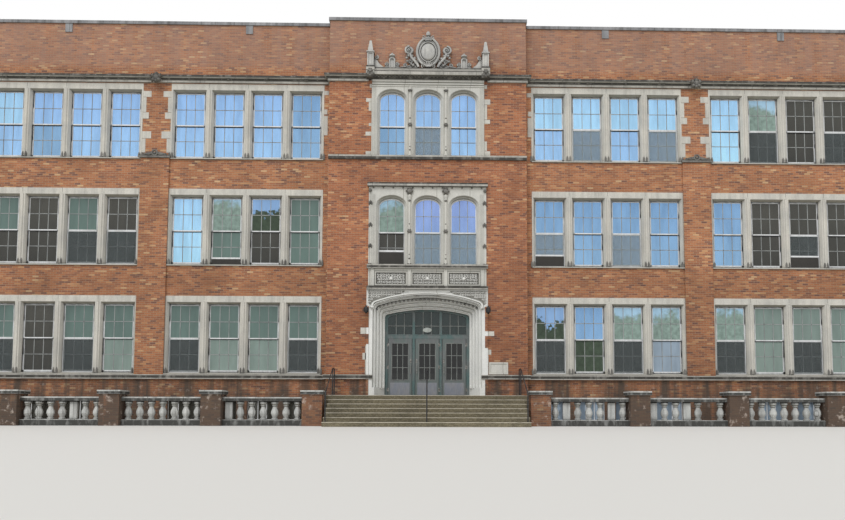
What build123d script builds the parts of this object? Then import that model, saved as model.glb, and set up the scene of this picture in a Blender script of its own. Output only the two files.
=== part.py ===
# School building: a brick and limestone block of three storeys over a basement,
# with an entrance pavilion, wings of two window bays each side, front steps and a balustrade.
# Millimetres, +Z up, the front faces -Y. The origin is on the pavilion's centre line,
# in the plane of the wings' front wall, at the ground at the foot of the front steps.
import os
from math import atan2, degrees, hypot
from build123d import *

os.makedirs("parts", exist_ok=True)

# Levels
riser = 152.4
tread = 305.0
riser_count = 7
entry_level = riser * riser_count
storey_height = 3985.0
storey_count = 3
sill_above_floor = 753.0
parapet_level = 14950.0
pavilion_parapet_level = 15030.0
floor_thickness = 320.0
roof_above_floor = 4000.0

# Plan
bay_pitch = 6710.0
bays_per_wing = 2
building_depth = 17000.0
wall_thickness = 450.0
pavilion_width = 7300.0
pavilion_projection = 300.0
end_pier_width = 1345.0

# Window groups of the wings
windows_per_bay = 4
window_pitch = 1440.0
light_width = 1050.0
light_height = 2580.0
jamb_width = 150.0
lintel_height = 220.0
stone_sill_height = 80.0
stone_depth = 130.0
stone_joint = 0.8
stone_proud = 12.0
sill_projection = 60.0
sash_depth = 60.0
sash_stile = 55.0
sash_top_rail = 75.0
sash_bottom_rail = 95.0
sash_meeting_rail = 60.0
glass_thickness = 8.0
glass_cover = 60.0

# Basement windows
basement_sill = 150.0
basement_light_height = 800.0
basement_stile = 60.0

# Bands of stone round the building
belt_height = 158.0
belt_projection = 90.0
cornice_bottom = 12840.0
cornice_steps = 3
cornice_height = 270.0
cornice_projection = 180.0
coping_thickness = 115.0
coping_overhang = 45.0
coping_block_width = 400.0
coping_block_height = 80.0
coping_block_depth = 260.0
scupper_width = 260.0
scupper_height = 330.0
scupper_proud = 25.0
pavilion_block_spacing = 5540.0

# Pilasters between the bays
pilaster_projection = 70.0
pilaster_level = 9850.0
pilaster_cap_height = 130.0
pilaster_crest_height = 350.0
pilaster_crest_depth = 120.0

# Stone centrepiece of the pavilion
entrance_half_width = 2200.0
surround_top = 4920.0
surround_proud = 35.0
orders = 4
outer_arch_half_span = 1980.0
outer_arch_springing = 4280.0
outer_arch_rise = 500.0
outer_arch_shoulder = 200.0
jamb_base_height = 300.0
base_front_half = 1900.0
spandrel_recess = 30.0
spandrel_margin = 90.0

# Triple arched windows
arch_pitch = 1305.0
arch_light_width = 960.0
arch_rise = 235.0
arch_shoulder = 110.0
arch_frame_depth = 140.0
lower_frame_half_width = 2150.0
lower_light_bottom = 5830.0
lower_light_top = 8300.0
lower_frame_top = 8720.0
upper_frame_half_width = 2080.0
upper_light_bottom = 9900.0
upper_light_top = 12270.0
upper_frame_top = 12760.0
sill_band_height = 150.0
sill_band_projection = 80.0
oriel_cornice_height = 140.0
oriel_cornice_projection = 130.0
panel_bottom = 5120.0
panel_height = 420.0
panel_width = 1090.0
panel_recess = 50.0
lower_sill_height = 140.0
apron_band_height = 120.0
mullion_shaft_radius = 70.0
label_courses = 3
label_pitch = 110.0
label_step = 40.0

# Crest over the upper window
crest_half_width = 2280.0
crest_cornice_projection = 260.0
crest_bed_projection = 140.0
crest_bed_height = 110.0
crest_corona_height = 150.0
crest_slope_height = 160.0
crest_depth = 150.0
crest_end_width = 310.0
pinnacle_width = 250.0
pinnacle_shaft_height = 660.0
pinnacle_collar_height = 50.0
pinnacle_spike_height = 440.0
pinnacle_spike_width = 210.0
pinnacle_tip_width = 90.0
urn_spacing = 2670.0
urn_base_width = 230.0
urn_base_height = 330.0
urn_radius = 95.0
urn_height = 260.0
urn_wing_width = 620.0
urn_wing_height = 160.0
cartouche_half_width = 490.0
cartouche_height = 1220.0
cartouche_corner = 400.0
shield_half_width = 280.0
shield_half_height = 320.0
shield_corner = 240.0
shield_relief = 35.0
volute_radius = 175.0
volute_spacing = 1620.0
volute_level = 680.0
volute_eye_radius = 90.0
bracket_foot_half = 1120.0
finial_height = 330.0
finial_radius = 75.0

# Doors
door_pitch = 1000.0
door_count = 3
door_gap = 6.0
mullion_width = 92.0
frame_half_width = 1566.0
frame_front = 330.0
frame_depth = 110.0
leaf_height = 2134.0
leaf_thickness = 45.0
transom_height = 130.0
transom_light_rail = 60.0
door_arch_springing = 3960.0
door_arch_rise = 310.0
door_arch_shoulder = 130.0
glazing_width = 600.0
glazing_height = 1350.0
glazing_above_landing = 600.0
glass_rebate = 24.0
glass_stop = 12.0
pull_height = 340.0
pull_bar = 22.0
pull_standoff = 66.0
pull_above_landing = 1000.0
pull_from_edge = 70.0
hinge_offset = 12.0
hinge_radius = 9.0
hinge_length = 120.0
hinge_plate_width = 26.0
hinge_plate_thickness = 4.0
hinge_gap = 0.3
hinges_above_landing = (230.0, 1070.0, 1900.0)

# Front steps, piers and balustrade
steps_half_width = 3390.0
landing_front = -1070.0
pier_pitch = 3420.0
pier_count = 5
first_pier_x = 3910.0
pier_width = 680.0
pier_line = -1300.0
pier_level = 1080.0
pier_cap_thickness = 130.0
pier_cap_overhang = 50.0
curb_height = 210.0
curb_depth = 320.0
rail_bottom = 845.0
rail_height = 140.0
rail_depth = 300.0
balusters_per_span = 7
baluster_width = 190.0
rail_pipe_radius = 21.0
rail_pipe_sides = 8
rail_above_nosing = 950.0
rail_inset = 90.0
rail_post_spacing = 440.0

# Wall lamps
lamp_bottom = 4010.0
lamp_height = 310.0
lamp_x = 2200.0
lamp_radius = 95.0
lamp_arm = 150.0
lamp_arm_width = 40.0

# Profiles of the carved ornaments, from foot to head, as shares of half width and height
vase_profile = ((0.8, 0), (0.47, 0.18), (1, 0.42), (0.47, 0.85), (0.8, 1))
urn_profile = ((0.6, 0), (0.5, 0.2), (1, 0.5), (0.85, 0.72), (0.3, 0.88), (0.1, 1))
finial_profile = ((0.6, 0), (0.5, 0.3), (1, 0.5), (0.8, 0.8), (0.1, 1))
lamp_profile = ((0.35, 0), (0.85, 0.15), (1, 0.5), (0.9, 0.7), (0.3, 0.9), (0.3, 1))

# Places worked out from the driving sizes
pavilion_half = pavilion_width / 2
group_width = window_pitch * (windows_per_bay - 1) + light_width + 2 * jamb_width
half_width = bay_pitch * bays_per_wing + group_width / 2 + end_pier_width
group_height = stone_sill_height + light_height + lintel_height
pier_between_groups = bay_pitch - group_width
floor_levels = [entry_level + storey_height * n for n in range(storey_count)]
sill_levels = [level + sill_above_floor for level in floor_levels]
roof_level = floor_levels[-1] + roof_above_floor
belt_bottom = sill_levels[0] - belt_height
wing_bays = [bay_pitch * (n + 1) for n in range(bays_per_wing)]
pavilion_face = -pavilion_projection
landing_half_width = first_pier_x - pier_width / 2
leaf_width = door_pitch - mullion_width - 2 * door_gap
triple_windows = ((lower_light_bottom, lower_light_top), (upper_light_bottom, upper_light_top))
arched_sheet_width = 2 * arch_pitch + arch_light_width + 2 * glass_cover
arched_sash_line = pavilion_face + arch_frame_depth


def block(x0, x1, y0, y1, z0, z1, mode=Mode.ADD):
    """A box between two corners, added to or cut from the part being built."""
    with Locations(((x0 + x1) / 2, (y0 + y1) / 2, (z0 + z1) / 2)):
        Box(x1 - x0, y1 - y0, z1 - z0, mode=mode)


def facade(y, x=0.0, z=0.0):
    """An upright plane that faces the front: sketch x is X and sketch y is Z."""
    return Plane(origin=(x, y, z), x_dir=(1, 0, 0), z_dir=(0, -1, 0))


def depressed_arch(half_span, foot, springing, rise, shoulder):
    """Face of an opening under a three-centred arch, with its feet at the given height."""
    crown = ((half_span - shoulder) ** 2 + rise ** 2 - shoulder ** 2) / (2 * (rise - shoulder))
    reach = hypot(half_span - shoulder, crown - rise)
    knee_x = half_span - shoulder + shoulder * (half_span - shoulder) / reach
    knee_z = springing + shoulder * (crown - rise) / reach
    bend = degrees(atan2(knee_z - springing, knee_x - half_span + shoulder))
    with BuildSketch() as arch:
        with BuildLine():
            Polyline((-half_span, springing), (-half_span, foot), (half_span, foot),
                (half_span, springing))
            CenterArc((half_span - shoulder, springing), shoulder, 0, bend)
            ThreePointArc((knee_x, knee_z), (0, springing + rise), (-knee_x, knee_z))
            CenterArc((shoulder - half_span, springing), shoulder, 180 - bend, bend)
        make_face()
    return arch.sketch


def carved(x, y, z, half_across, height, profile):
    """A square ornament on the given point, cut to one profile from the front and from the side."""
    right = [(share * half_across, rise * height) for share, rise in profile]
    left = [(-across, up) for across, up in reversed(right)]
    with BuildSketch() as outline:
        with BuildLine():
            Polyline(*right, *left, close=True)
        make_face()
    side_plane = Plane(origin=(x, y, z), x_dir=(0, 1, 0), z_dir=(1, 0, 0))
    from_front = extrude(facade(y, x, z) * outline.sketch, amount=half_across, both=True,
        mode=Mode.PRIVATE)
    from_side = extrude(side_plane * outline.sketch, amount=half_across, both=True,
        mode=Mode.PRIVATE)
    add(from_front & from_side)


def save(part, name):
    """Give a finished piece its name and write it."""
    part.label = name
    export_step(part, f"parts/{name}.step")


# Window groups: one plane for each bay and storey, on the wall's face at the stone sill
front_planes = [facade(0, side * x, sill) for side in (-1, 1) for x in wing_bays for sill in sill_levels]
back_bays = [bay_pitch * n for n in range(-bays_per_wing, bays_per_wing + 1)]
back_planes = [
    Plane(origin=(x, building_depth, sill), x_dir=(-1, 0, 0), z_dir=(0, 1, 0))
    for x in back_bays for sill in sill_levels
]
end_planes = [
    Plane(origin=(side * half_width, building_depth / 2, sill), x_dir=(0, side, 0), z_dir=(side, 0, 0))
    for side in (-1, 1) for sill in sill_levels
]
rear_planes = back_planes + end_planes
basement_planes = [facade(0, side * x, basement_sill) for side in (-1, 1) for x in wing_bays]


def cut_group(plane):
    """Cut one window group's hole through a wall."""
    with BuildSketch(plane) as hole:
        with Locations((0, group_height / 2)):
            Rectangle(group_width, group_height)
    extrude(hole.sketch, amount=-wall_thickness, mode=Mode.SUBTRACT)


def cut_basement(plane):
    """Cut a bay's basement windows through a wall."""
    with BuildSketch(plane) as holes:
        with Locations((0, basement_light_height / 2)):
            with GridLocations(window_pitch, 0, windows_per_bay, 1):
                Rectangle(light_width, basement_light_height)
    extrude(holes.sketch, amount=-wall_thickness, mode=Mode.SUBTRACT)


# Wing walls
for name, side in (("front_wall_left", -1), ("front_wall_right", 1)):
    inner, outer = sorted((side * pavilion_half, side * half_width))
    with BuildPart() as wing_wall:
        block(inner, outer, 0, wall_thickness, 0, parapet_level)
        for plane in front_planes + basement_planes:
            if plane.origin.X * side > 0:
                if plane in basement_planes:
                    cut_basement(plane)
                else:
                    cut_group(plane)
    save(wing_wall.part, name)

# Back and end walls
with BuildPart() as back_wall:
    block(-half_width, half_width, building_depth - wall_thickness, building_depth, 0, parapet_level)
    for plane in back_planes:
        cut_group(plane)
save(back_wall.part, "back_wall")

for name, side in (("left_wall", -1), ("right_wall", 1)):
    inner, outer = sorted((side * (half_width - wall_thickness), side * half_width))
    with BuildPart() as end_wall:
        block(inner, outer, wall_thickness, building_depth - wall_thickness, 0, parapet_level)
        for plane in end_planes:
            if plane.origin.X * side > 0:
                cut_group(plane)
    save(end_wall.part, name)

# Pavilion walls beside and over the doorway
for name, side in (("pavilion_wall_left", -1), ("pavilion_wall_right", 1)):
    inner, outer = sorted((side * entrance_half_width, side * pavilion_half))
    with BuildPart() as pavilion_side:
        block(inner, outer, pavilion_face, wall_thickness, 0, surround_top)
    save(pavilion_side.part, name)

with BuildPart() as pavilion_wall_upper:
    block(-pavilion_half, pavilion_half, pavilion_face, wall_thickness,
        surround_top, pavilion_parapet_level)
    block(-lower_frame_half_width, lower_frame_half_width, pavilion_face, wall_thickness,
        surround_top, lower_frame_top, mode=Mode.SUBTRACT)
    block(-upper_frame_half_width, upper_frame_half_width, pavilion_face, wall_thickness,
        upper_light_bottom, upper_frame_top, mode=Mode.SUBTRACT)
save(pavilion_wall_upper.part, "pavilion_wall_upper")

# Floors and roof deck between the walls
room_x = half_width - wall_thickness
room_y = (wall_thickness, building_depth - wall_thickness)

floor_names = ("first_floor", "second_floor", "third_floor", "roof_deck")
for name, level in zip(floor_names, floor_levels + [roof_level]):
    with BuildPart() as floor_slab:
        block(-room_x, room_x, *room_y, level - floor_thickness, level)
    save(floor_slab.part, name)


# Stones of one window group, laid out on its plane: lintel, sill, jambs and mullions
with BuildPart() as stone_group:
    with BuildSketch(Plane.XY.offset(-stone_depth)):
        with Locations((0, group_height - lintel_height / 2)):
            Rectangle(group_width, lintel_height)
        with Locations((0, stone_sill_height + light_height / 2)):
            with GridLocations(window_pitch, 0, windows_per_bay - 1, 1):
                Rectangle(window_pitch - light_width, light_height - 2 * stone_joint)
            with GridLocations(group_width - jamb_width, 0, 2, 1):
                Rectangle(jamb_width, light_height - 2 * stone_joint)
    extrude(amount=stone_depth + stone_proud)
    with BuildSketch(Plane.XY.offset(-stone_depth)):
        with Locations((0, stone_sill_height / 2)):
            Rectangle(group_width, stone_sill_height)
    extrude(amount=stone_depth + sill_projection)

# Sash frames of one window group, behind its stones: with a light for each window on the front,
# and plain round the whole group on the other sides
sash_plane = Plane.XY.offset(-stone_depth - sash_depth)
sash_light_height = light_height - sash_top_rail - sash_bottom_rail
sash_light_centre = stone_sill_height + sash_bottom_rail + sash_light_height / 2
with BuildPart() as sash_group:
    with BuildSketch(sash_plane):
        with Locations((0, group_height / 2)):
            Rectangle(group_width, group_height)
        with Locations((0, sash_light_centre)):
            with GridLocations(window_pitch, 0, windows_per_bay, 1):
                Rectangle(light_width - 2 * sash_stile, sash_light_height, mode=Mode.SUBTRACT)
    extrude(amount=sash_depth)

with BuildPart() as plain_sash_group:
    with BuildSketch(sash_plane):
        with Locations((0, group_height / 2)):
            Rectangle(group_width, group_height)
        with Locations((0, sash_light_centre)):
            Rectangle(group_width - 2 * jamb_width - 2 * sash_stile, sash_light_height,
                mode=Mode.SUBTRACT)
    extrude(amount=sash_depth)

# One sheet of glass behind a window group
with BuildPart() as glass_group:
    with BuildSketch(sash_plane):
        with Locations((0, stone_sill_height + light_height / 2)):
            Rectangle(group_width - 2 * jamb_width + 2 * glass_cover, light_height + glass_cover)
    extrude(amount=-glass_thickness)

# Stone frames, sashes and glass of the window groups
for name, planes in (("stone_frames_front", front_planes), ("stone_frames_rear", rear_planes)):
    with BuildPart() as stone_frames:
        with Locations(*planes):
            add(stone_group.part)
    save(stone_frames.part, name)

with BuildPart() as sashes_rear:
    with Locations(*rear_planes):
        add(plain_sash_group.part)
save(sashes_rear.part, "sashes_rear")

with BuildPart() as glass_rear:
    with Locations(*rear_planes):
        add(glass_group.part)
save(glass_rear.part, "glass_rear")


def footprint(growth):
    """Plan outline of the building, moved out by the given amount."""
    with Locations((0, building_depth / 2)):
        Rectangle(2 * (half_width + growth), building_depth + 2 * growth)
    with Locations((0, (wall_thickness - pavilion_projection - growth) / 2)):
        Rectangle(2 * (pavilion_half + growth), wall_thickness + pavilion_projection + growth)


def plan_core():
    """Plan outline of the walls, cut from the bands that run round them."""
    with Locations((0, building_depth / 2)):
        Rectangle(2 * half_width, building_depth, mode=Mode.SUBTRACT)
    with Locations((0, (wall_thickness - pavilion_projection) / 2)):
        Rectangle(pavilion_width, wall_thickness + pavilion_projection, mode=Mode.SUBTRACT)


# Belt course over the plinth, open at the entrance, and sill band under the upper triple window
with BuildPart() as string_courses:
    with BuildSketch(Plane.XY.offset(belt_bottom)):
        footprint(belt_projection)
        plan_core()
        with Locations((0, pavilion_face)):
            Rectangle(2 * entrance_half_width, 4 * belt_projection, mode=Mode.SUBTRACT)
    extrude(amount=belt_height)
    block(-pavilion_half, pavilion_half, pavilion_face - sill_band_projection, pavilion_face,
        upper_light_bottom - sill_band_height, upper_light_bottom)
save(string_courses.part, "string_courses")

# Cornice in stepped courses, open behind the crest
with BuildPart() as cornice:
    course = cornice_height / cornice_steps
    for n in range(cornice_steps):
        with BuildSketch(Plane.XY.offset(cornice_bottom + n * course)):
            footprint(cornice_projection * (n + 1) / cornice_steps)
            plan_core()
            with Locations((0, pavilion_face)):
                Rectangle(2 * crest_half_width, 4 * cornice_projection, mode=Mode.SUBTRACT)
        extrude(amount=course)
save(cornice.part, "cornice")

# Coping of the wings and rear walls, with raised blocks over the quarter points of the bays
# and scupper stones in the parapet under it, over the middle of each bay
with BuildPart() as coping:
    with BuildSketch(Plane.XY.offset(parapet_level)):
        with Locations((0, building_depth / 2)):
            Rectangle(2 * (half_width + coping_overhang), building_depth + 2 * coping_overhang)
            Rectangle(2 * (room_x - coping_overhang),
                building_depth - 2 * (wall_thickness + coping_overhang), mode=Mode.SUBTRACT)
        Rectangle(pavilion_width + 2 * coping_overhang, 4 * (wall_thickness + coping_overhang),
            mode=Mode.SUBTRACT)
    extrude(amount=coping_thickness)
    with BuildSketch(Plane.XY.offset(parapet_level + coping_thickness)):
        for side in (-1, 1):
            for x in wing_bays:
                with Locations((side * (x - bay_pitch / 4), wall_thickness / 2),
                        (side * (x + bay_pitch / 4), wall_thickness / 2)):
                    Rectangle(coping_block_width, coping_block_depth)
    extrude(amount=coping_block_height)
    for side in (-1, 1):
        for x in wing_bays:
            with BuildSketch(facade(0, side * x, parapet_level - scupper_height / 2)):
                Rectangle(scupper_width, scupper_height)
            extrude(amount=scupper_proud)
save(coping.part, "coping")

with BuildPart() as pavilion_coping:
    block(-pavilion_half - coping_overhang, pavilion_half + coping_overhang,
        pavilion_face - coping_overhang, wall_thickness + coping_overhang,
        pavilion_parapet_level, pavilion_parapet_level + coping_thickness)
    with BuildSketch(Plane.XY.offset(pavilion_parapet_level + coping_thickness)):
        with Locations((0, pavilion_face + coping_block_depth)):
            with GridLocations(pavilion_block_spacing, 0, 2, 1):
                Rectangle(coping_block_width, coping_block_depth)
    extrude(amount=coping_block_height)
save(pavilion_coping.part, "pavilion_coping")

# Pilasters on the piers between the bays, under a cap with an arched crest
pilaster_width = pier_between_groups
pilaster_xs = [bay_pitch * (n + 1.5) for n in range(bays_per_wing)]
with BuildPart() as pilasters:
    for side in (-1, 1):
        for x in pilaster_xs:
            with BuildSketch(facade(0, side * x)):
                with Locations((0, (belt_bottom + belt_height + pilaster_level) / 2)):
                    Rectangle(pilaster_width, pilaster_level - belt_bottom - belt_height)
            extrude(amount=pilaster_projection)
save(pilasters.part, "pilasters")

with BuildPart() as pilaster_caps:
    for side in (-1, 1):
        for x in pilaster_xs:
            with BuildSketch(facade(0, side * x, pilaster_level)):
                with Locations((0, pilaster_cap_height / 2)):
                    Rectangle(pilaster_width, pilaster_cap_height)
            extrude(amount=pilaster_crest_depth)
            with BuildSketch(facade(0, side * x, pilaster_level + pilaster_cap_height)):
                with BuildLine():
                    Line((-pilaster_width / 2, 0), (pilaster_width / 2, 0))
                    ThreePointArc((pilaster_width / 2, 0), (0, pilaster_crest_height),
                        (-pilaster_width / 2, 0))
                make_face()
            extrude(amount=pilaster_projection)
save(pilaster_caps.part, "pilaster_caps")

# Entrance surround: stepped orders under a three-centred arch, on plain splayed bases,
# with sunk spandrels over the arch
surround_face = pavilion_face - surround_proud
reveal_depth = frame_front - surround_face
order_depth = reveal_depth / (orders + 1)
base_top = entry_level + jamb_base_height


def order_sizes(n):
    """Half span, springing, rise and shoulder of one order, from the outer arch to the door arch."""
    share = n / orders
    return (
        outer_arch_half_span + (frame_half_width - outer_arch_half_span) * share,
        outer_arch_springing + (door_arch_springing - outer_arch_springing) * share,
        outer_arch_rise + (door_arch_rise - outer_arch_rise) * share,
        outer_arch_shoulder + (door_arch_shoulder - outer_arch_shoulder) * share,
    )


with BuildPart() as entrance_surround:
    block(-entrance_half_width, entrance_half_width, surround_face, frame_front,
        entry_level, surround_top)
    for n in range(orders + 1):
        half_span, springing, rise, shoulder = order_sizes(n)
        with BuildSketch(facade(surround_face + n * order_depth)):
            add(depressed_arch(half_span, base_top, springing, rise, shoulder))
        extrude(amount=-order_depth, mode=Mode.SUBTRACT)
    with BuildSketch(Plane.XY.offset(entry_level)):
        with BuildLine():
            Polyline((-base_front_half, surround_face), (base_front_half, surround_face),
                (frame_half_width, frame_front), (-frame_half_width, frame_front), close=True)
        make_face()
    extrude(amount=jamb_base_height, mode=Mode.SUBTRACT)
    with BuildSketch(facade(surround_face)):
        with Locations((0, (outer_arch_springing + surround_top) / 2)):
            Rectangle(2 * entrance_half_width - 2 * spandrel_margin,
                surround_top - outer_arch_springing - 2 * spandrel_margin)
        add(depressed_arch(outer_arch_half_span + spandrel_margin, entry_level, outer_arch_springing,
            outer_arch_rise + spandrel_margin, outer_arch_shoulder), mode=Mode.SUBTRACT)
    extrude(amount=-spandrel_recess, mode=Mode.SUBTRACT)
save(entrance_surround.part, "entrance_surround")

# Door frame: jambs, mullions and transom bar under the arch, with three lights over the doors
leaf_top = entry_level + leaf_height
opening_top = leaf_top + door_gap
transom_top = opening_top + transom_height
light_arch_half = (door_pitch * door_count - mullion_width) / 2
frame_outline = depressed_arch(frame_half_width, entry_level, door_arch_springing, door_arch_rise,
    door_arch_shoulder)
with BuildPart() as door_frame:
    with BuildSketch(facade(frame_front + frame_depth)):
        add(frame_outline)
        with Locations((0, (entry_level + opening_top) / 2)):
            with GridLocations(door_pitch, 0, door_count, 1):
                Rectangle(door_pitch - mullion_width, opening_top - entry_level, mode=Mode.SUBTRACT)
        add(depressed_arch(light_arch_half, transom_top, door_arch_springing - transom_light_rail,
            door_arch_rise, door_arch_shoulder), mode=Mode.SUBTRACT)
        with Locations((0, (transom_top + door_arch_springing) / 2 + door_arch_rise / 2)):
            with GridLocations(door_pitch, 0, door_count - 1, 1):
                Rectangle(mullion_width, door_arch_springing + door_arch_rise - transom_top)
        add(frame_outline, mode=Mode.INTERSECT)
    extrude(amount=frame_depth)
save(door_frame.part, "door_frame")

# Door leaves: the left one hinged at its left, the middle and right ones at their right
leaf_bottom = entry_level + door_gap
glazing_centre = entry_level + glazing_above_landing + glazing_height / 2
doors = (("left", -door_pitch, -1), ("centre", 0.0, 1), ("right", door_pitch, 1))
pin_y = frame_front - hinge_offset


def hinge_half(pin_x, level, side, end):
    """Half of a lift-off hinge: a plate beside the pin, and a barrel over or under the middle."""
    with BuildSketch(Plane.XY.offset(level - hinge_length / 2)) as plate:
        with Locations((pin_x + side * (hinge_offset + hinge_plate_width / 2),
                frame_front - hinge_plate_thickness / 2)):
            Rectangle(hinge_plate_width, hinge_plate_thickness)
    extrude(plate.sketch, amount=hinge_length)
    with BuildSketch(Plane.XY.offset(level + end * hinge_gap / 2)) as barrel:
        with Locations((pin_x, pin_y)):
            Circle(hinge_radius)
        with Locations((pin_x + side * hinge_offset / 2, frame_front - hinge_plate_thickness / 2)):
            Rectangle(hinge_offset, hinge_plate_thickness)
        with Locations((pin_x + side * hinge_offset / 4, pin_y + hinge_offset / 2)):
            Rectangle(hinge_offset / 2, hinge_offset)
    extrude(barrel.sketch, amount=end * (hinge_length - hinge_gap) / 2)


with BuildPart() as door_hinges:
    for name, x, hinge_side in doors:
        pin_x = x + hinge_side * (leaf_width + door_gap) / 2
        for height in hinges_above_landing:
            hinge_half(pin_x, entry_level + height, hinge_side, -1)
save(door_hinges.part, "door_hinges")

for name, x, hinge_side in doors:
    with BuildPart() as leaf:
        with BuildSketch(facade(frame_front, x)):
            with Locations((0, (leaf_bottom + leaf_top) / 2)):
                Rectangle(leaf_width, leaf_top - leaf_bottom)
            with Locations((0, glazing_centre)):
                Rectangle(glazing_width, glazing_height, mode=Mode.SUBTRACT)
        extrude(amount=-leaf_thickness)
        with BuildSketch(facade(frame_front + leaf_thickness, x)):
            with Locations((0, glazing_centre)):
                Rectangle(glazing_width + 2 * glass_stop, glazing_height + 2 * glass_stop)
        extrude(amount=leaf_thickness - glass_rebate, mode=Mode.SUBTRACT)
    save(leaf.part, f"door_leaf_{name}")

    with BuildPart() as pane:
        with BuildSketch(facade(frame_front + glass_rebate, x)):
            with Locations((0, glazing_centre)):
                Rectangle(glazing_width + 2 * glass_stop, glazing_height + 2 * glass_stop)
        extrude(amount=-glass_thickness)
    save(pane.part, f"door_glass_{name}")

    pull_x = x - hinge_side * (leaf_width / 2 - pull_from_edge)
    pull_z = entry_level + pull_above_landing
    with BuildPart() as hardware:
        with BuildSketch(Plane.YZ.offset(pull_x - pull_bar / 2)):
            with Locations((frame_front - pull_standoff / 2, pull_z)):
                Rectangle(pull_standoff, pull_height)
            with Locations((frame_front - (pull_standoff - pull_bar) / 2, pull_z)):
                Rectangle(pull_standoff - pull_bar, pull_height - 2 * pull_bar, mode=Mode.SUBTRACT)
        extrude(amount=pull_bar)
        for height in hinges_above_landing:
            hinge_half(x + hinge_side * (leaf_width + door_gap) / 2, entry_level + height,
                -hinge_side, 1)
    save(hardware.part, f"door_hardware_{name}")

# Front steps: one concrete flight and landing that runs in to the doors
with BuildPart() as entrance_steps:
    with BuildSketch(Plane.YZ.offset(-steps_half_width)):
        with BuildLine():
            outline = [(pavilion_face, 0), (pavilion_face, entry_level), (landing_front, entry_level)]
            for n in range(1, riser_count):
                outline.append((landing_front - (n - 1) * tread, entry_level - n * riser))
                outline.append((landing_front - n * tread, entry_level - n * riser))
            outline.append((landing_front - (riser_count - 1) * tread, 0))
            Polyline(*outline, close=True)
        make_face()
    extrude(amount=2 * steps_half_width)
    block(-landing_half_width, landing_half_width, landing_front, pavilion_face, 0, entry_level)
    block(-entrance_half_width, entrance_half_width, pavilion_face, wall_thickness, 0, entry_level)
save(entrance_steps.part, "entrance_steps")

# Brick piers of the balustrade, the first of them beside the steps
pier_xs = [first_pier_x + n * pier_pitch for n in range(pier_count)]
pier_places = [(side * x, pier_line) for side in (-1, 1) for x in pier_xs]
with BuildPart() as balustrade_piers:
    with BuildSketch(Plane.XY):
        with Locations(*pier_places):
            Rectangle(pier_width, pier_width)
    extrude(amount=pier_level)
save(balustrade_piers.part, "balustrade_piers")

with BuildPart() as pier_caps:
    with BuildSketch(Plane.XY.offset(pier_level)):
        with Locations(*pier_places):
            Rectangle(pier_width + 2 * pier_cap_overhang, pier_width + 2 * pier_cap_overhang)
    extrude(amount=pier_cap_thickness)
save(pier_caps.part, "pier_caps")

span_centres = [x + pier_pitch / 2 for x in pier_xs[:-1]]
span_length = pier_pitch - pier_width
span_places = [(side * x, pier_line) for side in (-1, 1) for x in span_centres]
with BuildPart() as balustrade_rails:
    with BuildSketch(Plane.XY):
        with Locations(*span_places):
            Rectangle(span_length, curb_depth)
    extrude(amount=curb_height)
    with BuildSketch(Plane.XY.offset(rail_bottom)):
        with Locations(*span_places):
            Rectangle(span_length, rail_depth)
    extrude(amount=rail_height)
save(balustrade_rails.part, "balustrade_rails")

# Balusters: square vases between the curb and the rail
baluster_height = rail_bottom - curb_height
baluster_pitch = span_length / balusters_per_span
with BuildPart() as baluster:
    carved(0, 0, 0, baluster_width / 2, baluster_height, vase_profile)
with BuildPart() as balusters:
    for x, y in span_places:
        with Locations((x, y, curb_height)):
            with GridLocations(baluster_pitch, 0, balusters_per_span, 1):
                add(baluster.part)
save(balusters.part, "balusters")


def triple_lights(frame_half, frame_bottom, frame_top, light_bottom, light_top):
    """Stone frame with three arched lights, set in the pavilion's face."""
    springing = light_top - arch_rise
    light = depressed_arch(arch_light_width / 2, light_bottom, springing, arch_rise, arch_shoulder)
    with BuildSketch(facade(pavilion_face + arch_frame_depth)) as frame:
        with Locations((0, (frame_bottom + frame_top) / 2)):
            Rectangle(2 * frame_half, frame_top - frame_bottom)
        with GridLocations(arch_pitch, 0, 3, 1):
            add(light, mode=Mode.SUBTRACT)
    extrude(frame.sketch, amount=arch_frame_depth + surround_proud)
    with BuildSketch(Plane.XY.offset(light_bottom)) as shafts:
        with Locations((0, pavilion_face - surround_proud)):
            with GridLocations(arch_pitch, 0, 2, 1):
                Circle(mullion_shaft_radius)
            with GridLocations(2 * frame_half - 2 * mullion_shaft_radius, 0, 2, 1):
                Circle(mullion_shaft_radius)
    extrude(shafts.sketch, amount=frame_top - light_bottom)


def arched_sashes(light_bottom, light_top):
    """Sashes of three arched lights, in one frame behind the stone."""
    middle = (light_bottom + light_top) / 2 + sash_bottom_rail
    lower_bottom = light_bottom + sash_bottom_rail
    lower_top = middle - sash_meeting_rail
    light = depressed_arch(arch_light_width / 2 - sash_stile, middle,
        light_top - arch_rise - sash_stile, arch_rise, arch_shoulder)
    with BuildSketch(facade(arched_sash_line + sash_depth)) as sashes:
        with Locations((0, (light_bottom + light_top + glass_cover) / 2)):
            Rectangle(arched_sheet_width, light_top - light_bottom + glass_cover)
        with GridLocations(arch_pitch, 0, 3, 1):
            add(light, mode=Mode.SUBTRACT)
            with Locations((0, (lower_bottom + lower_top) / 2)):
                Rectangle(arch_light_width - 2 * sash_stile, lower_top - lower_bottom,
                    mode=Mode.SUBTRACT)
    extrude(sashes.sketch, amount=sash_depth)


# Stone frames of the two triple windows over the entrance
with BuildPart() as lower_triple_frame:
    triple_lights(lower_frame_half_width, surround_top, lower_frame_top, lower_light_bottom,
        lower_light_top)
    with BuildSketch(facade(pavilion_face - surround_proud)):
        with Locations((0, panel_bottom + panel_height / 2)):
            with GridLocations(arch_pitch, 0, 3, 1):
                Rectangle(panel_width, panel_height)
    extrude(amount=-panel_recess, mode=Mode.SUBTRACT)
save(lower_triple_frame.part, "lower_triple_frame")

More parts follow.
